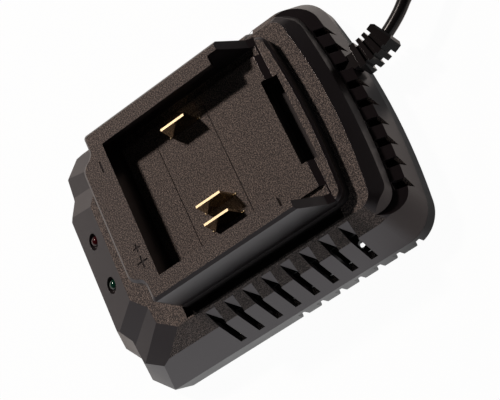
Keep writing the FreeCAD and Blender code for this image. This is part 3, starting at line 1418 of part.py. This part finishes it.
# Tie round the coil, plug and pins
TIE_LENGTH = "(%d * Sizes.coil_pitch / 2 + Sizes.cord_diameter + 2 * Sizes.tie_gap)" % size.coil_half_turns
TIE_Y = "(Sizes.coil_y + Sizes.coil_radius - %d * Sizes.coil_pitch / 4)" % size.coil_half_turns
TIE_HEIGHT = "(Sizes.coil_climb + Sizes.cord_diameter + 2 * Sizes.tie_gap)"
tie_outer = box("tie_outer", "Sizes.tie_width", "%s + 2 * Sizes.tie_thickness" % TIE_LENGTH,
                "%s + 2 * Sizes.tie_thickness" % TIE_HEIGHT, "Sizes.coil_x", TIE_Y, "0")
tie_inner = box("tie_inner", "Sizes.tie_width + 2", TIE_LENGTH, TIE_HEIGHT, "Sizes.coil_x", TIE_Y,
                "Sizes.tie_thickness")
keep("cord_tie", carved("cord_tie", tie_outer, tie_inner))
plug_body = new_body("plug_body")
plug_pad = padded(plug_body, "XY_Plane", [
    ("-Sizes.plug_width / 2", "-Sizes.plug_length"),
    ("Sizes.plug_width / 2", "-Sizes.plug_length"),
    ("Sizes.plug_width / 2", "-Sizes.plug_taper"),
    ("Sizes.plug_neck / 2", "0"),
    ("-Sizes.plug_neck / 2", "0"),
    ("-Sizes.plug_width / 2", "-Sizes.plug_taper"),
], "Sizes.plug_thickness")
doc.recompute()
rounding = plug_body.newObject("PartDesign::Fillet", "plug_rounding")
rounding.Base = (plug_pad, ["Edge%d" % number for number, line in enumerate(plug_pad.Shape.Edges, start=1)
                            if abs(line.tangentAt(line.FirstParameter).z) > 0.9])
bind(rounding, Radius="Sizes.plug_fillet")
plug_body.Tip = rounding
bind(plug_body, x="Sizes.plug_x", y="Sizes.plug_rear_y")
pins = [rod("plug_pin_%d" % number, "Sizes.pin_diameter", "Sizes.pin_length",
            "Sizes.plug_x %s Sizes.pin_spacing / 2" % sign,
            "Sizes.plug_rear_y - Sizes.plug_length - Sizes.pin_length", "Sizes.plug_thickness / 2", along_y)
        for number, sign in enumerate("-+")]
keep("plug_pins", group("plug_pins", pins))

# Wires between the boards
terminal_rear = size.mains_terminal_y + size.mains_terminal_length / 2
mains_routes = [[Vector(size.boot_x + sign * 1.4, size.inner_cord_end, size.boot_height),
                 Vector(size.boot_x + sign * 1.4, size.inner_cord_end - 2.5, size.boot_height),
                 Vector(size.boot_x + sign * 2.4, terminal_rear + 2.5, board_top + 6.4),
                 Vector(size.boot_x + sign * 2.4, terminal_rear, board_top + 6.4)] for sign in (1, -1)]
leads("mains_leads", mains_routes, size.lead_diameter)
output_routes = [[Vector(x, size.output_lead_y, terminal_board_bottom),
                  Vector(x, size.output_lead_y, terminal_board_bottom - 5),
                  Vector(x + 1, size.output_lead_y - 4, board_top + 9),
                  Vector(x + 1, size.output_lead_y - 3, board_top + 4),
                  Vector(x + 1, size.output_lead_y - 3, board_top)]
                 for x in spread(3, 6.0, size.output_lead_x)]
leads("output_leads", output_routes, size.riser_diameter)
lamp_back = lamp_base + size.lamp_board_thickness
lamp_routes = [[lamp_point(x, lamp_back), lamp_point(x, lamp_back + 4),
                Vector(x + 0.5, size.board_front - 5, board_top + 7),
                Vector(x + 0.5, size.board_front + 2, board_top + 5),
                Vector(x + 0.5, size.board_front + 2, board_top)] for x in (-3, 3)]
leads("lamp_leads", lamp_routes, size.riser_diameter)

# Every object has to be sound before anything is written
doc.recompute()
faults = []
for thing in doc.Objects:
    if "Invalid" in thing.State or "Error" in thing.State:
        faults.append("%s is %s" % (thing.Label, thing.State))
for node, thing in parts.items():
    shape = thing.Shape
    if shape.isNull() or not shape.isValid() or not shape.Solids:
        faults.append("%s has no valid solid" % node)
if faults:
    raise RuntimeError("; ".join(faults))
for node, thing in parts.items():
    thing.Shape.exportStep("parts/%s.step" % node)
print(len(parts), "sub-parts")
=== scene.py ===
"""The battery charger dressed for its picture: finishes, free cord, contact nubs and a white studio."""
import json
import math

import bmesh
import bpy
from mathutils import Euler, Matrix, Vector


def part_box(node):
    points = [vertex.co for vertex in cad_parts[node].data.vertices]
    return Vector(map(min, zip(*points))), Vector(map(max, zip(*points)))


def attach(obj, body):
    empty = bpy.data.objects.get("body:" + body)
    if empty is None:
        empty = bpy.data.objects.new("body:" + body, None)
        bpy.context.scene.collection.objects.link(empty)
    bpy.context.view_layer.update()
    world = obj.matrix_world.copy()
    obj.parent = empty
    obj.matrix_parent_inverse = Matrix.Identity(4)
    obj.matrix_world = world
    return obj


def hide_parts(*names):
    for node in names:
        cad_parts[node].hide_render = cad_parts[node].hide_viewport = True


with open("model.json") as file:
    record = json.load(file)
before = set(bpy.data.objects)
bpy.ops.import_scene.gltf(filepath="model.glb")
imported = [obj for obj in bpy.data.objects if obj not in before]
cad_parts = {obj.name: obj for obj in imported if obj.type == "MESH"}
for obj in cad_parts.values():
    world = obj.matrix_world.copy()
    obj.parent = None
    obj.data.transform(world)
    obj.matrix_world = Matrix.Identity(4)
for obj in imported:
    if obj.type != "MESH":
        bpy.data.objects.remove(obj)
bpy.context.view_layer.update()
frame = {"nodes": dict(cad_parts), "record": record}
nodes = frame["nodes"]
scene = bpy.context.scene
scene.view_settings.view_transform = "Standard"

MM = 0.001


# Camera, at the photograph's place and angle

CAMERA_PLACE = (215.2, 190.3, 486.8)
CAMERA_TURN = (10.785, 28.642, 62.957)
CAMERA_LENS = 92.95

camera_data = bpy.data.cameras.new("camera")
camera_data.sensor_width = 36
camera_data.lens = CAMERA_LENS
camera_data.clip_start = 0.01
camera = bpy.data.objects.new("camera", camera_data)
camera.location = Vector(CAMERA_PLACE) * MM
camera.rotation_euler = Euler([math.radians(turn) for turn in CAMERA_TURN])
scene.collection.objects.link(camera)
scene.camera = camera


# Short calls that make nodes

class NodeMaker:
    """A node tree and short calls that add nodes to it."""

    def __init__(self, tree):
        self.tree = tree

    def feed(self, socket, value):
        """Set an input to a number or colour, or link it to another node's output."""
        if isinstance(value, bpy.types.NodeSocket):
            self.tree.links.new(value, socket)
        else:
            socket.default_value = value

    def add(self, kind, **inputs):
        node = self.tree.nodes.new(kind)
        for name, value in inputs.items():
            self.feed(node.inputs[name.replace("_", " ")], value)
        return node

    def ramp(self, value, low, high, first=0.0, last=1.0, interpolation="LINEAR"):
        """A value spread from a range to another, held at the ends."""
        node = self.add("ShaderNodeMapRange", Value=value, From_Min=low, From_Max=high, To_Min=first,
                        To_Max=last)
        node.interpolation_type = interpolation
        return node.outputs["Result"]

    def math(self, operation, first, second=0.5):
        node = self.tree.nodes.new("ShaderNodeMath")
        node.operation = operation
        self.feed(node.inputs[0], first)
        self.feed(node.inputs[1], second)
        return node.outputs[0]

    def product(self, first, second):
        return self.math("MULTIPLY", first, second)

    def larger(self, first, second):
        return self.math("MAXIMUM", first, second)

    def split(self, vector):
        return self.add("ShaderNodeSeparateXYZ", Vector=vector).outputs


class Shader(NodeMaker):
    """A material with one principled surface."""

    def __init__(self, name):
        self.material = bpy.data.materials.new(name)
        self.material.use_nodes = True
        super().__init__(self.material.node_tree)
        self.surface = self.tree.nodes["Principled BSDF"]

    def set(self, **inputs):
        for name, value in inputs.items():
            self.feed(self.surface.inputs[name.replace("_", " ")], value)

    def place(self):
        return self.add("ShaderNodeTexCoord").outputs["Object"]

    def face(self):
        """The direction that a face looks in, before its edges are rounded."""
        return self.split(self.add("ShaderNodeNewGeometry").outputs["True Normal"])

    def noise(self, scale, detail=2.0, roughness=0.5):
        node = self.add("ShaderNodeTexNoise", Vector=self.place(), Scale=scale, Detail=detail,
                        Roughness=roughness)
        return node.outputs["Fac"]

    def mix(self, factor, first, second):
        node = self.tree.nodes.new("ShaderNodeMix")
        node.data_type = "RGBA"
        for index, value in ((0, factor), (6, first), (7, second)):
            self.feed(node.inputs[index], value)
        return node.outputs[2]

    def bump(self, height, distance, strength, rounding=0.0):
        """Raise the surface by a height, and round its edges by a radius."""
        node = self.add("ShaderNodeBump", Height=height, Distance=distance, Strength=strength)
        if rounding:
            bevel = self.add("ShaderNodeBevel", Radius=rounding)
            bevel.samples = 4
            self.feed(node.inputs["Normal"], bevel.outputs["Normal"])
        self.set(Normal=node.outputs["Normal"])


def colour(red, green, blue):
    """A colour of the picture, 0 to 255 each, as the shader takes it."""
    linear = []
    for value in (red, green, blue):
        share = value / 255
        linear.append(share / 12.92 if share < 0.04045 else ((share + 0.055) / 1.055) ** 2.4)
    return (*linear, 1.0)


# Moulded plastic

GRAIN_DARK = colour(24, 20, 18)
GRAIN_LIGHT = colour(110, 98, 90)
SMOOTH = colour(24, 20, 22)
# Painted shade: the darker colour of the latch pocket, of the deck's faces below the pocket's top, and of the
# marks sunk in the deck's top
PAINTED_PIT_SHADE = colour(12, 9, 8)
SHEEN = (1.0, 0.93, 0.97, 1.0)
GLOSS = 0.75

FACING_UP = (0.9, 0.94)
FACING_SIDEWAYS = (0.72, 0.76)
LEANING_BACK = (0.5, 0.56)

GRAIN_SCALE = 1900
GRAIN_DETAIL = 3.0
GRAIN_ROUGHNESS = 0.8
GRAIN_SPECKLE = (0.48, 0.57)
GRAIN_MATT = (0.42, 0.6, 0.88, 0.53)
GRAIN_HEIGHT = 0.0008
GRAIN_STRENGTH = 0.9
SMOOTH_SHARE_OF_GRAIN = 0.004
CLOUD_SCALE = 45
CLOUD_SPREAD = (0.3, 0.7)
CLOUD_TONE = (0.92, 1.08)
FINE_DETAIL = 3.0
SATIN = (0.3, 0.35)
PIT_ADDED_ROUGHNESS = 0.6
EDGE_RADIUS = 0.0002

# Heights, in metres, of the latch pocket's top and of the marks sunk in the deck's top

POCKET_LEVEL = 0.0385
PIT_BLEND = 0.001
MARK_LOW = (0.0585, 0.059)
MARK_HIGH = (0.0598, 0.0599)


def moulded(name, pit_level=0.0):
    """Moulded plastic: grained on top and on the upper side slopes, smooth and satin elsewhere.

    Below the pit level, and in the sunk marks on the deck's top, it is unpolished and has painted shade, a
    darker colour.
    """
    shader = Shader(name)
    normal = shader.face()
    height = shader.split(shader.place())["Z"]

    up = shader.ramp(normal["Z"], *FACING_UP)
    sideways = shader.ramp(shader.math("ABSOLUTE", normal["X"]), *FACING_SIDEWAYS)
    slope = shader.product(sideways, shader.ramp(normal["Z"], *LEANING_BACK))

    clear_of_marks = shader.larger(shader.ramp(height, *MARK_LOW, 1.0, 0.0), shader.ramp(height, *MARK_HIGH))
    clear_of_marks = shader.larger(clear_of_marks, shader.ramp(up, 0.0, 1.0, 1.0, 0.0))
    # 1 where the plastic is raised; 0 in the pocket and the sunk marks, which get painted shade
    raised_clear_of_painted_shade = shader.product(shader.ramp(height, pit_level, pit_level + PIT_BLEND), clear_of_marks)
    grained = shader.product(shader.larger(up, slope), raised_clear_of_painted_shade)

    grain = shader.noise(GRAIN_SCALE, GRAIN_DETAIL, GRAIN_ROUGHNESS)
    cloud = shader.noise(CLOUD_SCALE)
    speckled = shader.mix(shader.ramp(grain, *GRAIN_SPECKLE), GRAIN_DARK, GRAIN_LIGHT)
    shade = shader.mix(grained, shader.mix(raised_clear_of_painted_shade, PAINTED_PIT_SHADE, SMOOTH), speckled)
    tint = shader.add("ShaderNodeHueSaturation", Color=shade,
                      Value=shader.ramp(cloud, *CLOUD_SPREAD, *CLOUD_TONE))

    matt = shader.ramp(grain, *GRAIN_MATT)
    satin = shader.math("ADD", shader.ramp(cloud, *CLOUD_SPREAD, *SATIN),
                        shader.ramp(raised_clear_of_painted_shade, 0.0, 1.0, PIT_ADDED_ROUGHNESS, 0.0))
    rough = shader.math("ADD", shader.product(grained, matt),
                        shader.product(shader.math("SUBTRACT", 1.0, grained), satin))
    shader.set(Base_Color=tint.outputs["Color"], Roughness=rough, Specular_IOR_Level=GLOSS,
               Specular_Tint=SHEEN)
    relief = shader.product(grain, shader.ramp(grained, 0.0, 1.0, SMOOTH_SHARE_OF_GRAIN, 1.0))
    shader.bump(relief, GRAIN_HEIGHT, GRAIN_STRENGTH, EDGE_RADIUS)
    return shader.material


# Brass of the blades

BRASS_DARK = colour(190, 172, 140)
BRASS_LIGHT = colour(212, 195, 165)
BRASS_FACE_ROUGHNESS = 0.14
BRASS_EDGE_ROUGHNESS = 0.62
BRASS_EDGE = (0.6, 0.9)
BRASS_CLOUD_SCALE = 90
BRASS_GRAIN_SCALE = 600
BRASS_GRAIN_HEIGHT = 0.000003
BRASS_GRAIN_STRENGTH = 0.6


def sheared_brass(name):
    """Brass with polished faces and a matt, sheared top edge."""
    shader = Shader(name)
    edge = shader.ramp(shader.face()["Z"], *BRASS_EDGE)
    cloud = shader.noise(BRASS_CLOUD_SCALE, FINE_DETAIL)
    shader.set(Base_Color=shader.mix(cloud, BRASS_DARK, BRASS_LIGHT), Metallic=1.0,
               Roughness=shader.ramp(edge, 0.0, 1.0, BRASS_FACE_ROUGHNESS, BRASS_EDGE_ROUGHNESS))
    shader.bump(shader.noise(BRASS_GRAIN_SCALE, FINE_DETAIL), BRASS_GRAIN_HEIGHT, BRASS_GRAIN_STRENGTH)
    return shader.material


# Every other finish: its colour, its roughness, and what sets it apart

PLAIN_EDGE_RADIUS = 0.0003
PLAIN_STRENGTH = 0.6
GRAINS_PER_CLOUD = 12
SMOOTHEST = 0.9
ROUGHEST = 1.1


def plain(name, shade, roughness, metallic=0.0, scale=900, depth=0.00004, tone=0.12, **inputs):
    """A finish with slight changes of tone and a fine surface."""
    shader = Shader(name)
    base = colour(*shade)
    light = tuple(min(1.0, value * (1 + tone)) for value in base[:3]) + (1,)
    dark = tuple(value * (1 - tone) for value in base[:3]) + (1,)
    cloud = shader.noise(scale / GRAINS_PER_CLOUD, FINE_DETAIL)
    shader.set(Base_Color=shader.mix(cloud, dark, light), Metallic=metallic,
               Roughness=shader.ramp(cloud, *CLOUD_SPREAD, roughness * SMOOTHEST,
                                     min(1.0, roughness * ROUGHEST)),
               **inputs)
    shader.bump(shader.noise(scale, FINE_DETAIL), depth, PLAIN_STRENGTH, PLAIN_EDGE_RADIUS)
    return shader.material


PLAIN_FINISHES = {
    "tray_plastic": ((30, 26, 28), 0.32, {"scale": 1500, "depth": 0.000003, "Specular_IOR_Level": GLOSS}),
    "red_lens": ((46, 3, 6), 0.1, {"Transmission_Weight": 0.1}),
    "green_lens": ((4, 42, 30), 0.1, {"Transmission_Weight": 0.1}),
    "board_laminate": ((24, 40, 30), 0.4, {}),
    "steel": ((190, 190, 194), 0.32, {"metallic": 1.0}),
    "ferrite": ((70, 70, 74), 0.6, {}),
    "bobbin_plastic": ((48, 48, 50), 0.4, {}),
    "winding_tape": ((222, 178, 52), 0.3, {}),
    "capacitor_sleeve": ((38, 40, 70), 0.3, {}),
    "choke_wire": ((160, 84, 36), 0.3, {"metallic": 0.6}),
    "filter_box": ((220, 180, 60), 0.35, {}),
    "fuse_glass": ((200, 210, 210), 0.08, {}),
    "heat_sink_metal": ((205, 205, 208), 0.35, {"metallic": 1.0}),
    "device_case": ((40, 40, 42), 0.45, {}),
    "relay_case": ((40, 90, 160), 0.3, {}),
    "terminal_plastic": ((225, 222, 210), 0.4, {}),
    "lead_sleeve": ((30, 30, 34), 0.35, {}),
    "foot_rubber": ((34, 33, 33), 0.75, {}),
    "boot_rubber": ((18, 15, 16), 0.05, {"scale": 700, "depth": 0.000001}),
    "cord_sheath": ((16, 15, 16), 0.19, {"scale": 1200, "depth": 0.000002}),
    "tie_plastic": ((30, 30, 31), 0.5, {}),
    "plug_plastic": ((28, 27, 29), 0.36, {}),
    "pin_metal": ((205, 200, 190), 0.22, {"metallic": 1.0}),
}

finishes = {
    "housing_plastic": moulded("housing_plastic"),
    "deck_plastic": moulded("deck_plastic", POCKET_LEVEL),
    "block_plastic": moulded("block_plastic"),
    "blade_brass": sheared_brass("blade_brass"),
}
for finish_name, (shade, roughness, details) in PLAIN_FINISHES.items():
    finishes[finish_name] = plain(finish_name, shade, roughness, **details)

for part in frame["record"]["subparts"]:
    piece = nodes[part["node"]]
    finish = finishes[part["material_slot"]]
    if not piece.material_slots:
        piece.data.materials.append(finish)
    for material_slot in piece.material_slots:
        material_slot.material = finish


# The cord, in one line from the boot, through its coil, to its plug, in millimetres

CORD = 5.6
BOOT_X = -16.5
BOOT_Y = 78.5
BOOT_Z = 17.5
BOOT_TURN = math.radians(24)
BOOT_BEND = 38.0
LAYER_LOW = 3.9
LAYER_HIGH = 10.5
COIL_MIDDLE = (-77.0, 138.0)
COIL_RADIUS = 43.0
COIL_PITCH = 7.3
COIL_HALF_TURNS = 7
POINTS_PER_HALF_TURN = 9
PLUG_X = -110.4
PLUG_REAR_Y = 88.0
PLUG_Z = 6.8

boot_exit = Vector((BOOT_X - BOOT_BEND * (1 - math.cos(BOOT_TURN)),
                    BOOT_Y + BOOT_BEND * math.sin(BOOT_TURN), BOOT_Z))
boot_heading = Vector((-math.sin(BOOT_TURN), math.cos(BOOT_TURN), 0))
free_route = [
    boot_exit,
    boot_exit + boot_heading * 7.5,
    Vector((-30.4, 109.8, 17.2)),
    Vector((-34.5, 120.2, 13.5)),
    Vector((-34.0, 130.5, LAYER_HIGH)),
]
tail_route = [
    Vector((-120.0, 128.0, LAYER_LOW)),
    Vector((-117.4, 115.0, 4.8)),
    Vector((PLUG_X, PLUG_REAR_Y + 12, PLUG_Z)),
    Vector((PLUG_X, PLUG_REAR_Y, PLUG_Z)),
]


def coil_route():
    """Control points of the coil: half turns that draw in, drop a layer and spread out again."""
    points = []
    radial = COIL_RADIUS
    level = LAYER_HIGH
    side = 1
    swell = 1 / math.cos(math.pi / POINTS_PER_HALF_TURN / 2)
    for turn in range(2 * COIL_HALF_TURNS + 1):
        dropping = turn == COIL_HALF_TURNS
        step = 0 if dropping else COIL_PITCH / 2 * (-1 if turn < COIL_HALF_TURNS else 1)
        new_radial = radial + step
        start = COIL_MIDDLE[0] + side * radial
        end = COIL_MIDDLE[0] - side * new_radial
        middle = (start + end) / 2
        radius = abs(start - end) / 2
        for index in range(POINTS_PER_HALF_TURN):
            share = (index + 0.5) / POINTS_PER_HALF_TURN
            angle = math.pi * share
            height = level - (LAYER_HIGH - LAYER_LOW) * (1 - math.cos(angle)) / 2 if dropping else level
            points.append(Vector((middle + side * swell * radius * math.cos(angle),
                                  COIL_MIDDLE[1] + side * swell * radius * math.sin(angle), height)))
        radial = new_radial
        level = LAYER_LOW if dropping else level
        side = -side
    return points


def cord_line(name, points, diameter):
    """A round cord on a smooth line with these control points, in millimetres."""
    data = bpy.data.curves.new(name, "CURVE")
    data.dimensions = "3D"
    data.resolution_u = 8
    data.bevel_depth = diameter / 2 * MM
    data.bevel_resolution = 5
    data.use_fill_caps = True
    spline = data.splines.new("NURBS")
    spline.points.add(len(points) - 1)
    for control, point in zip(spline.points, points):
        control.co = (*(point * MM), 1)
    spline.order_u = 3
    spline.use_endpoint_u = True
    line = bpy.data.objects.new(name, data)
    data.materials.append(finishes["cord_sheath"])
    scene.collection.objects.link(line)
    return line


cord = cord_line("mains_cord_line", free_route + coil_route() + tail_route, CORD)
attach(cord, "root")
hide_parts("mains_cord", "cord_coil", "cord_tail")


# Small rounded nubs where the blades leave the well's floor, in millimetres

NUB_RADIUS = 0.55
NUB_HEIGHT = 0.6
NUB_SINK = 0.05
NUB_SIDES = 12
NUB_RINGS = (0.0, 0.35, 0.7)
WELL_FLOOR = 45.3


def add_dome(mesh, middle, radius, height, sides):
    """A closed half-round button standing on its flat side."""
    rings = []
    for share in NUB_RINGS:
        angle = share * math.pi / 2
        ring = []
        for index in range(sides):
            turn = 2 * math.pi * index / sides
            ring.append(mesh.verts.new(middle + Vector((radius * math.cos(angle) * math.cos(turn),
                                                        radius * math.cos(angle) * math.sin(turn),
                                                        height * math.sin(angle)))))
        rings.append(ring)
    top = mesh.verts.new(middle + Vector((0, 0, height)))
    mesh.faces.new(list(reversed(rings[0])))
    for lower, upper in zip(rings, rings[1:]):
        for index in range(sides):
            after = (index + 1) % sides
            mesh.faces.new((lower[index], lower[after], upper[after], upper[index]))
    for index in range(sides):
        mesh.faces.new((rings[-1][index], rings[-1][(index + 1) % sides], top))


def contact_nubs():
    mesh = bmesh.new()
    for blade in ("negative_blade", "charge_blade", "positive_blade"):
        low, high = (Vector(corner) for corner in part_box(blade))
        for along in (low.y - NUB_RADIUS * MM, high.y + NUB_RADIUS * MM):
            middle = Vector(((low.x + high.x) / 2, along, (WELL_FLOOR - NUB_SINK) * MM))
            add_dome(mesh, middle, NUB_RADIUS * MM, NUB_HEIGHT * MM, NUB_SIDES)
    data = bpy.data.meshes.new("contact_nubs")
    mesh.to_mesh(data)
    mesh.free()
    for face in data.polygons:
        face.use_smooth = len(face.vertices) < NUB_SIDES
    data.materials.append(finishes["blade_brass"])
    nubs = bpy.data.objects.new("contact_nubs", data)
    scene.collection.objects.link(nubs)
    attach(nubs, "root")


contact_nubs()


# Studio: a white floor, a dim room and one lamp

WHITE = (1, 1, 1, 1)
FLOOR_REACH = 3.0
PAPER_TONE = 0.6
PAPER_END = (0.14, 0.22)
PAPER_END_PAINTED_SHADE = 0.05
CAMERA_WHITE = 0.97
GLASS_WHITE = 0.9
MIRRORED_WHITE = 0.12
BESIDE_PAINTED_REFLECTION = 0.88
BESIDE = (0.03, 0.07)
UNDER_HALF_WIDTH = (0.0446, 0.0448)
UNDER_HALF_LENGTH = (0.07, 0.071)

HORIZON = (0.12, 0.5)
HORIZON_LEVEL = 0.72
CEILING_LEVEL = 0.02
CORD_END = (0.3, 0.75)
CORD_END_LEVEL = 0.03
MINUS_X = (-0.6, 0.2)
MINUS_X_LEVEL = 0.35

KEY_DIRECTION = Vector((-0.508, -0.262, 0.820))
KEY_DISTANCE = 1.45
KEY_TARGET = Vector((0, 0, 0.03))
KEY_SIZE = 0.12
KEY_POWER = 23
KEY_TINT = (1.0, 0.88, 0.8)


def floor_material():
    """White paper with painted shade, which makes it dark beyond the cord's end of the object.

    To the camera it is nearly all glow, with almost no shadow on it, and only beneath the housing is it seen
    as it is lit. A gloss shows it mostly as it is lit, and beside the object's +X side as a painted
    reflection, a white glow.
    """
    material = bpy.data.materials.new("paper")
    material.use_nodes = True
    material.node_tree.nodes.clear()
    maker = NodeMaker(material.node_tree)
    ray = maker.add("ShaderNodeLightPath").outputs
    place = maker.split(maker.add("ShaderNodeNewGeometry").outputs["Position"])
    half_width = maker.ramp(maker.math("ABSOLUTE", place["X"]), *UNDER_HALF_WIDTH, 0.0, CAMERA_WHITE)
    half_length = maker.ramp(maker.math("ABSOLUTE", place["Y"]), *UNDER_HALF_LENGTH, 0.0, CAMERA_WHITE)
    # Painted reflection: beside the +X side the floor glows white to glossy rays
    beside = maker.product(maker.ramp(place["X"], *BESIDE, 0.0, BESIDE_PAINTED_REFLECTION),
                           maker.ramp(place["Y"], *BESIDE, 1.0, 0.0))
    seen = maker.product(ray["Is Camera Ray"], maker.larger(half_width, half_length))
    mirrored = maker.product(ray["Is Glossy Ray"], maker.math("ADD", beside, MIRRORED_WHITE))
    through = maker.product(ray["Is Transmission Ray"], GLASS_WHITE)
    share = maker.math("ADD", maker.math("ADD", seen, mirrored), through)
    # Painted shade: the paper's colour darkens past the cord's end
    paper = maker.add("ShaderNodeBsdfDiffuse",
                      Color=maker.ramp(place["Y"], *PAPER_END, PAPER_TONE, PAPER_END_PAINTED_SHADE))
    glow = maker.add("ShaderNodeEmission", Color=WHITE)
    blend = maker.add("ShaderNodeMixShader")
    for socket, value in zip(blend.inputs, (share, paper.outputs[0], glow.outputs[0])):
        maker.feed(socket, value)
    maker.add("ShaderNodeOutputMaterial", Surface=blend.outputs[0])
    return material


def studio_floor():
    mesh = bpy.data.meshes.new("floor")
    corners = [(x * FLOOR_REACH, y * FLOOR_REACH, 0) for x, y in ((-1, -1), (1, -1), (1, 1), (-1, 1))]
    mesh.from_pydata(corners, [], [(0, 1, 2, 3)])
    mesh.materials.append(floor_material())
    floor = bpy.data.objects.new("floor", mesh)
    scene.collection.objects.link(floor)


def studio_world():
    """Pale near the horizon, dark overhead and past the cord's end, dimmer toward -X, white to the camera."""
    world = bpy.data.worlds.new("studio")
    world.use_nodes = True
    maker = NodeMaker(world.node_tree)
    place = maker.split(maker.add("ShaderNodeTexCoord").outputs["Generated"])
    horizon = maker.ramp(place["Z"], *HORIZON, HORIZON_LEVEL, CEILING_LEVEL, "SMOOTHSTEP")
    round_about = maker.product(maker.ramp(place["Y"], *CORD_END, 1.0, CORD_END_LEVEL),
                                maker.ramp(place["X"], *MINUS_X, MINUS_X_LEVEL, 1.0))
    ray = maker.add("ShaderNodeLightPath").outputs
    background = world.node_tree.nodes["Background"]
    background.inputs["Color"].default_value = WHITE
    maker.feed(background.inputs["Strength"],
               maker.larger(maker.product(horizon, round_about), ray["Is Camera Ray"]))
    scene.world = world


def key_light():
    data = bpy.data.lights.new("key", "AREA")
    data.shape = "RECTANGLE"
    data.size = KEY_SIZE
    data.size_y = KEY_SIZE
    data.energy = KEY_POWER
    data.color = KEY_TINT
    light = bpy.data.objects.new("key", data)
    light.location = KEY_DIRECTION * KEY_DISTANCE
    light.rotation_euler = (KEY_TARGET - light.location).to_track_quat("-Z", "Y").to_euler()
    scene.collection.objects.link(light)


studio_floor()
studio_world()
key_light()
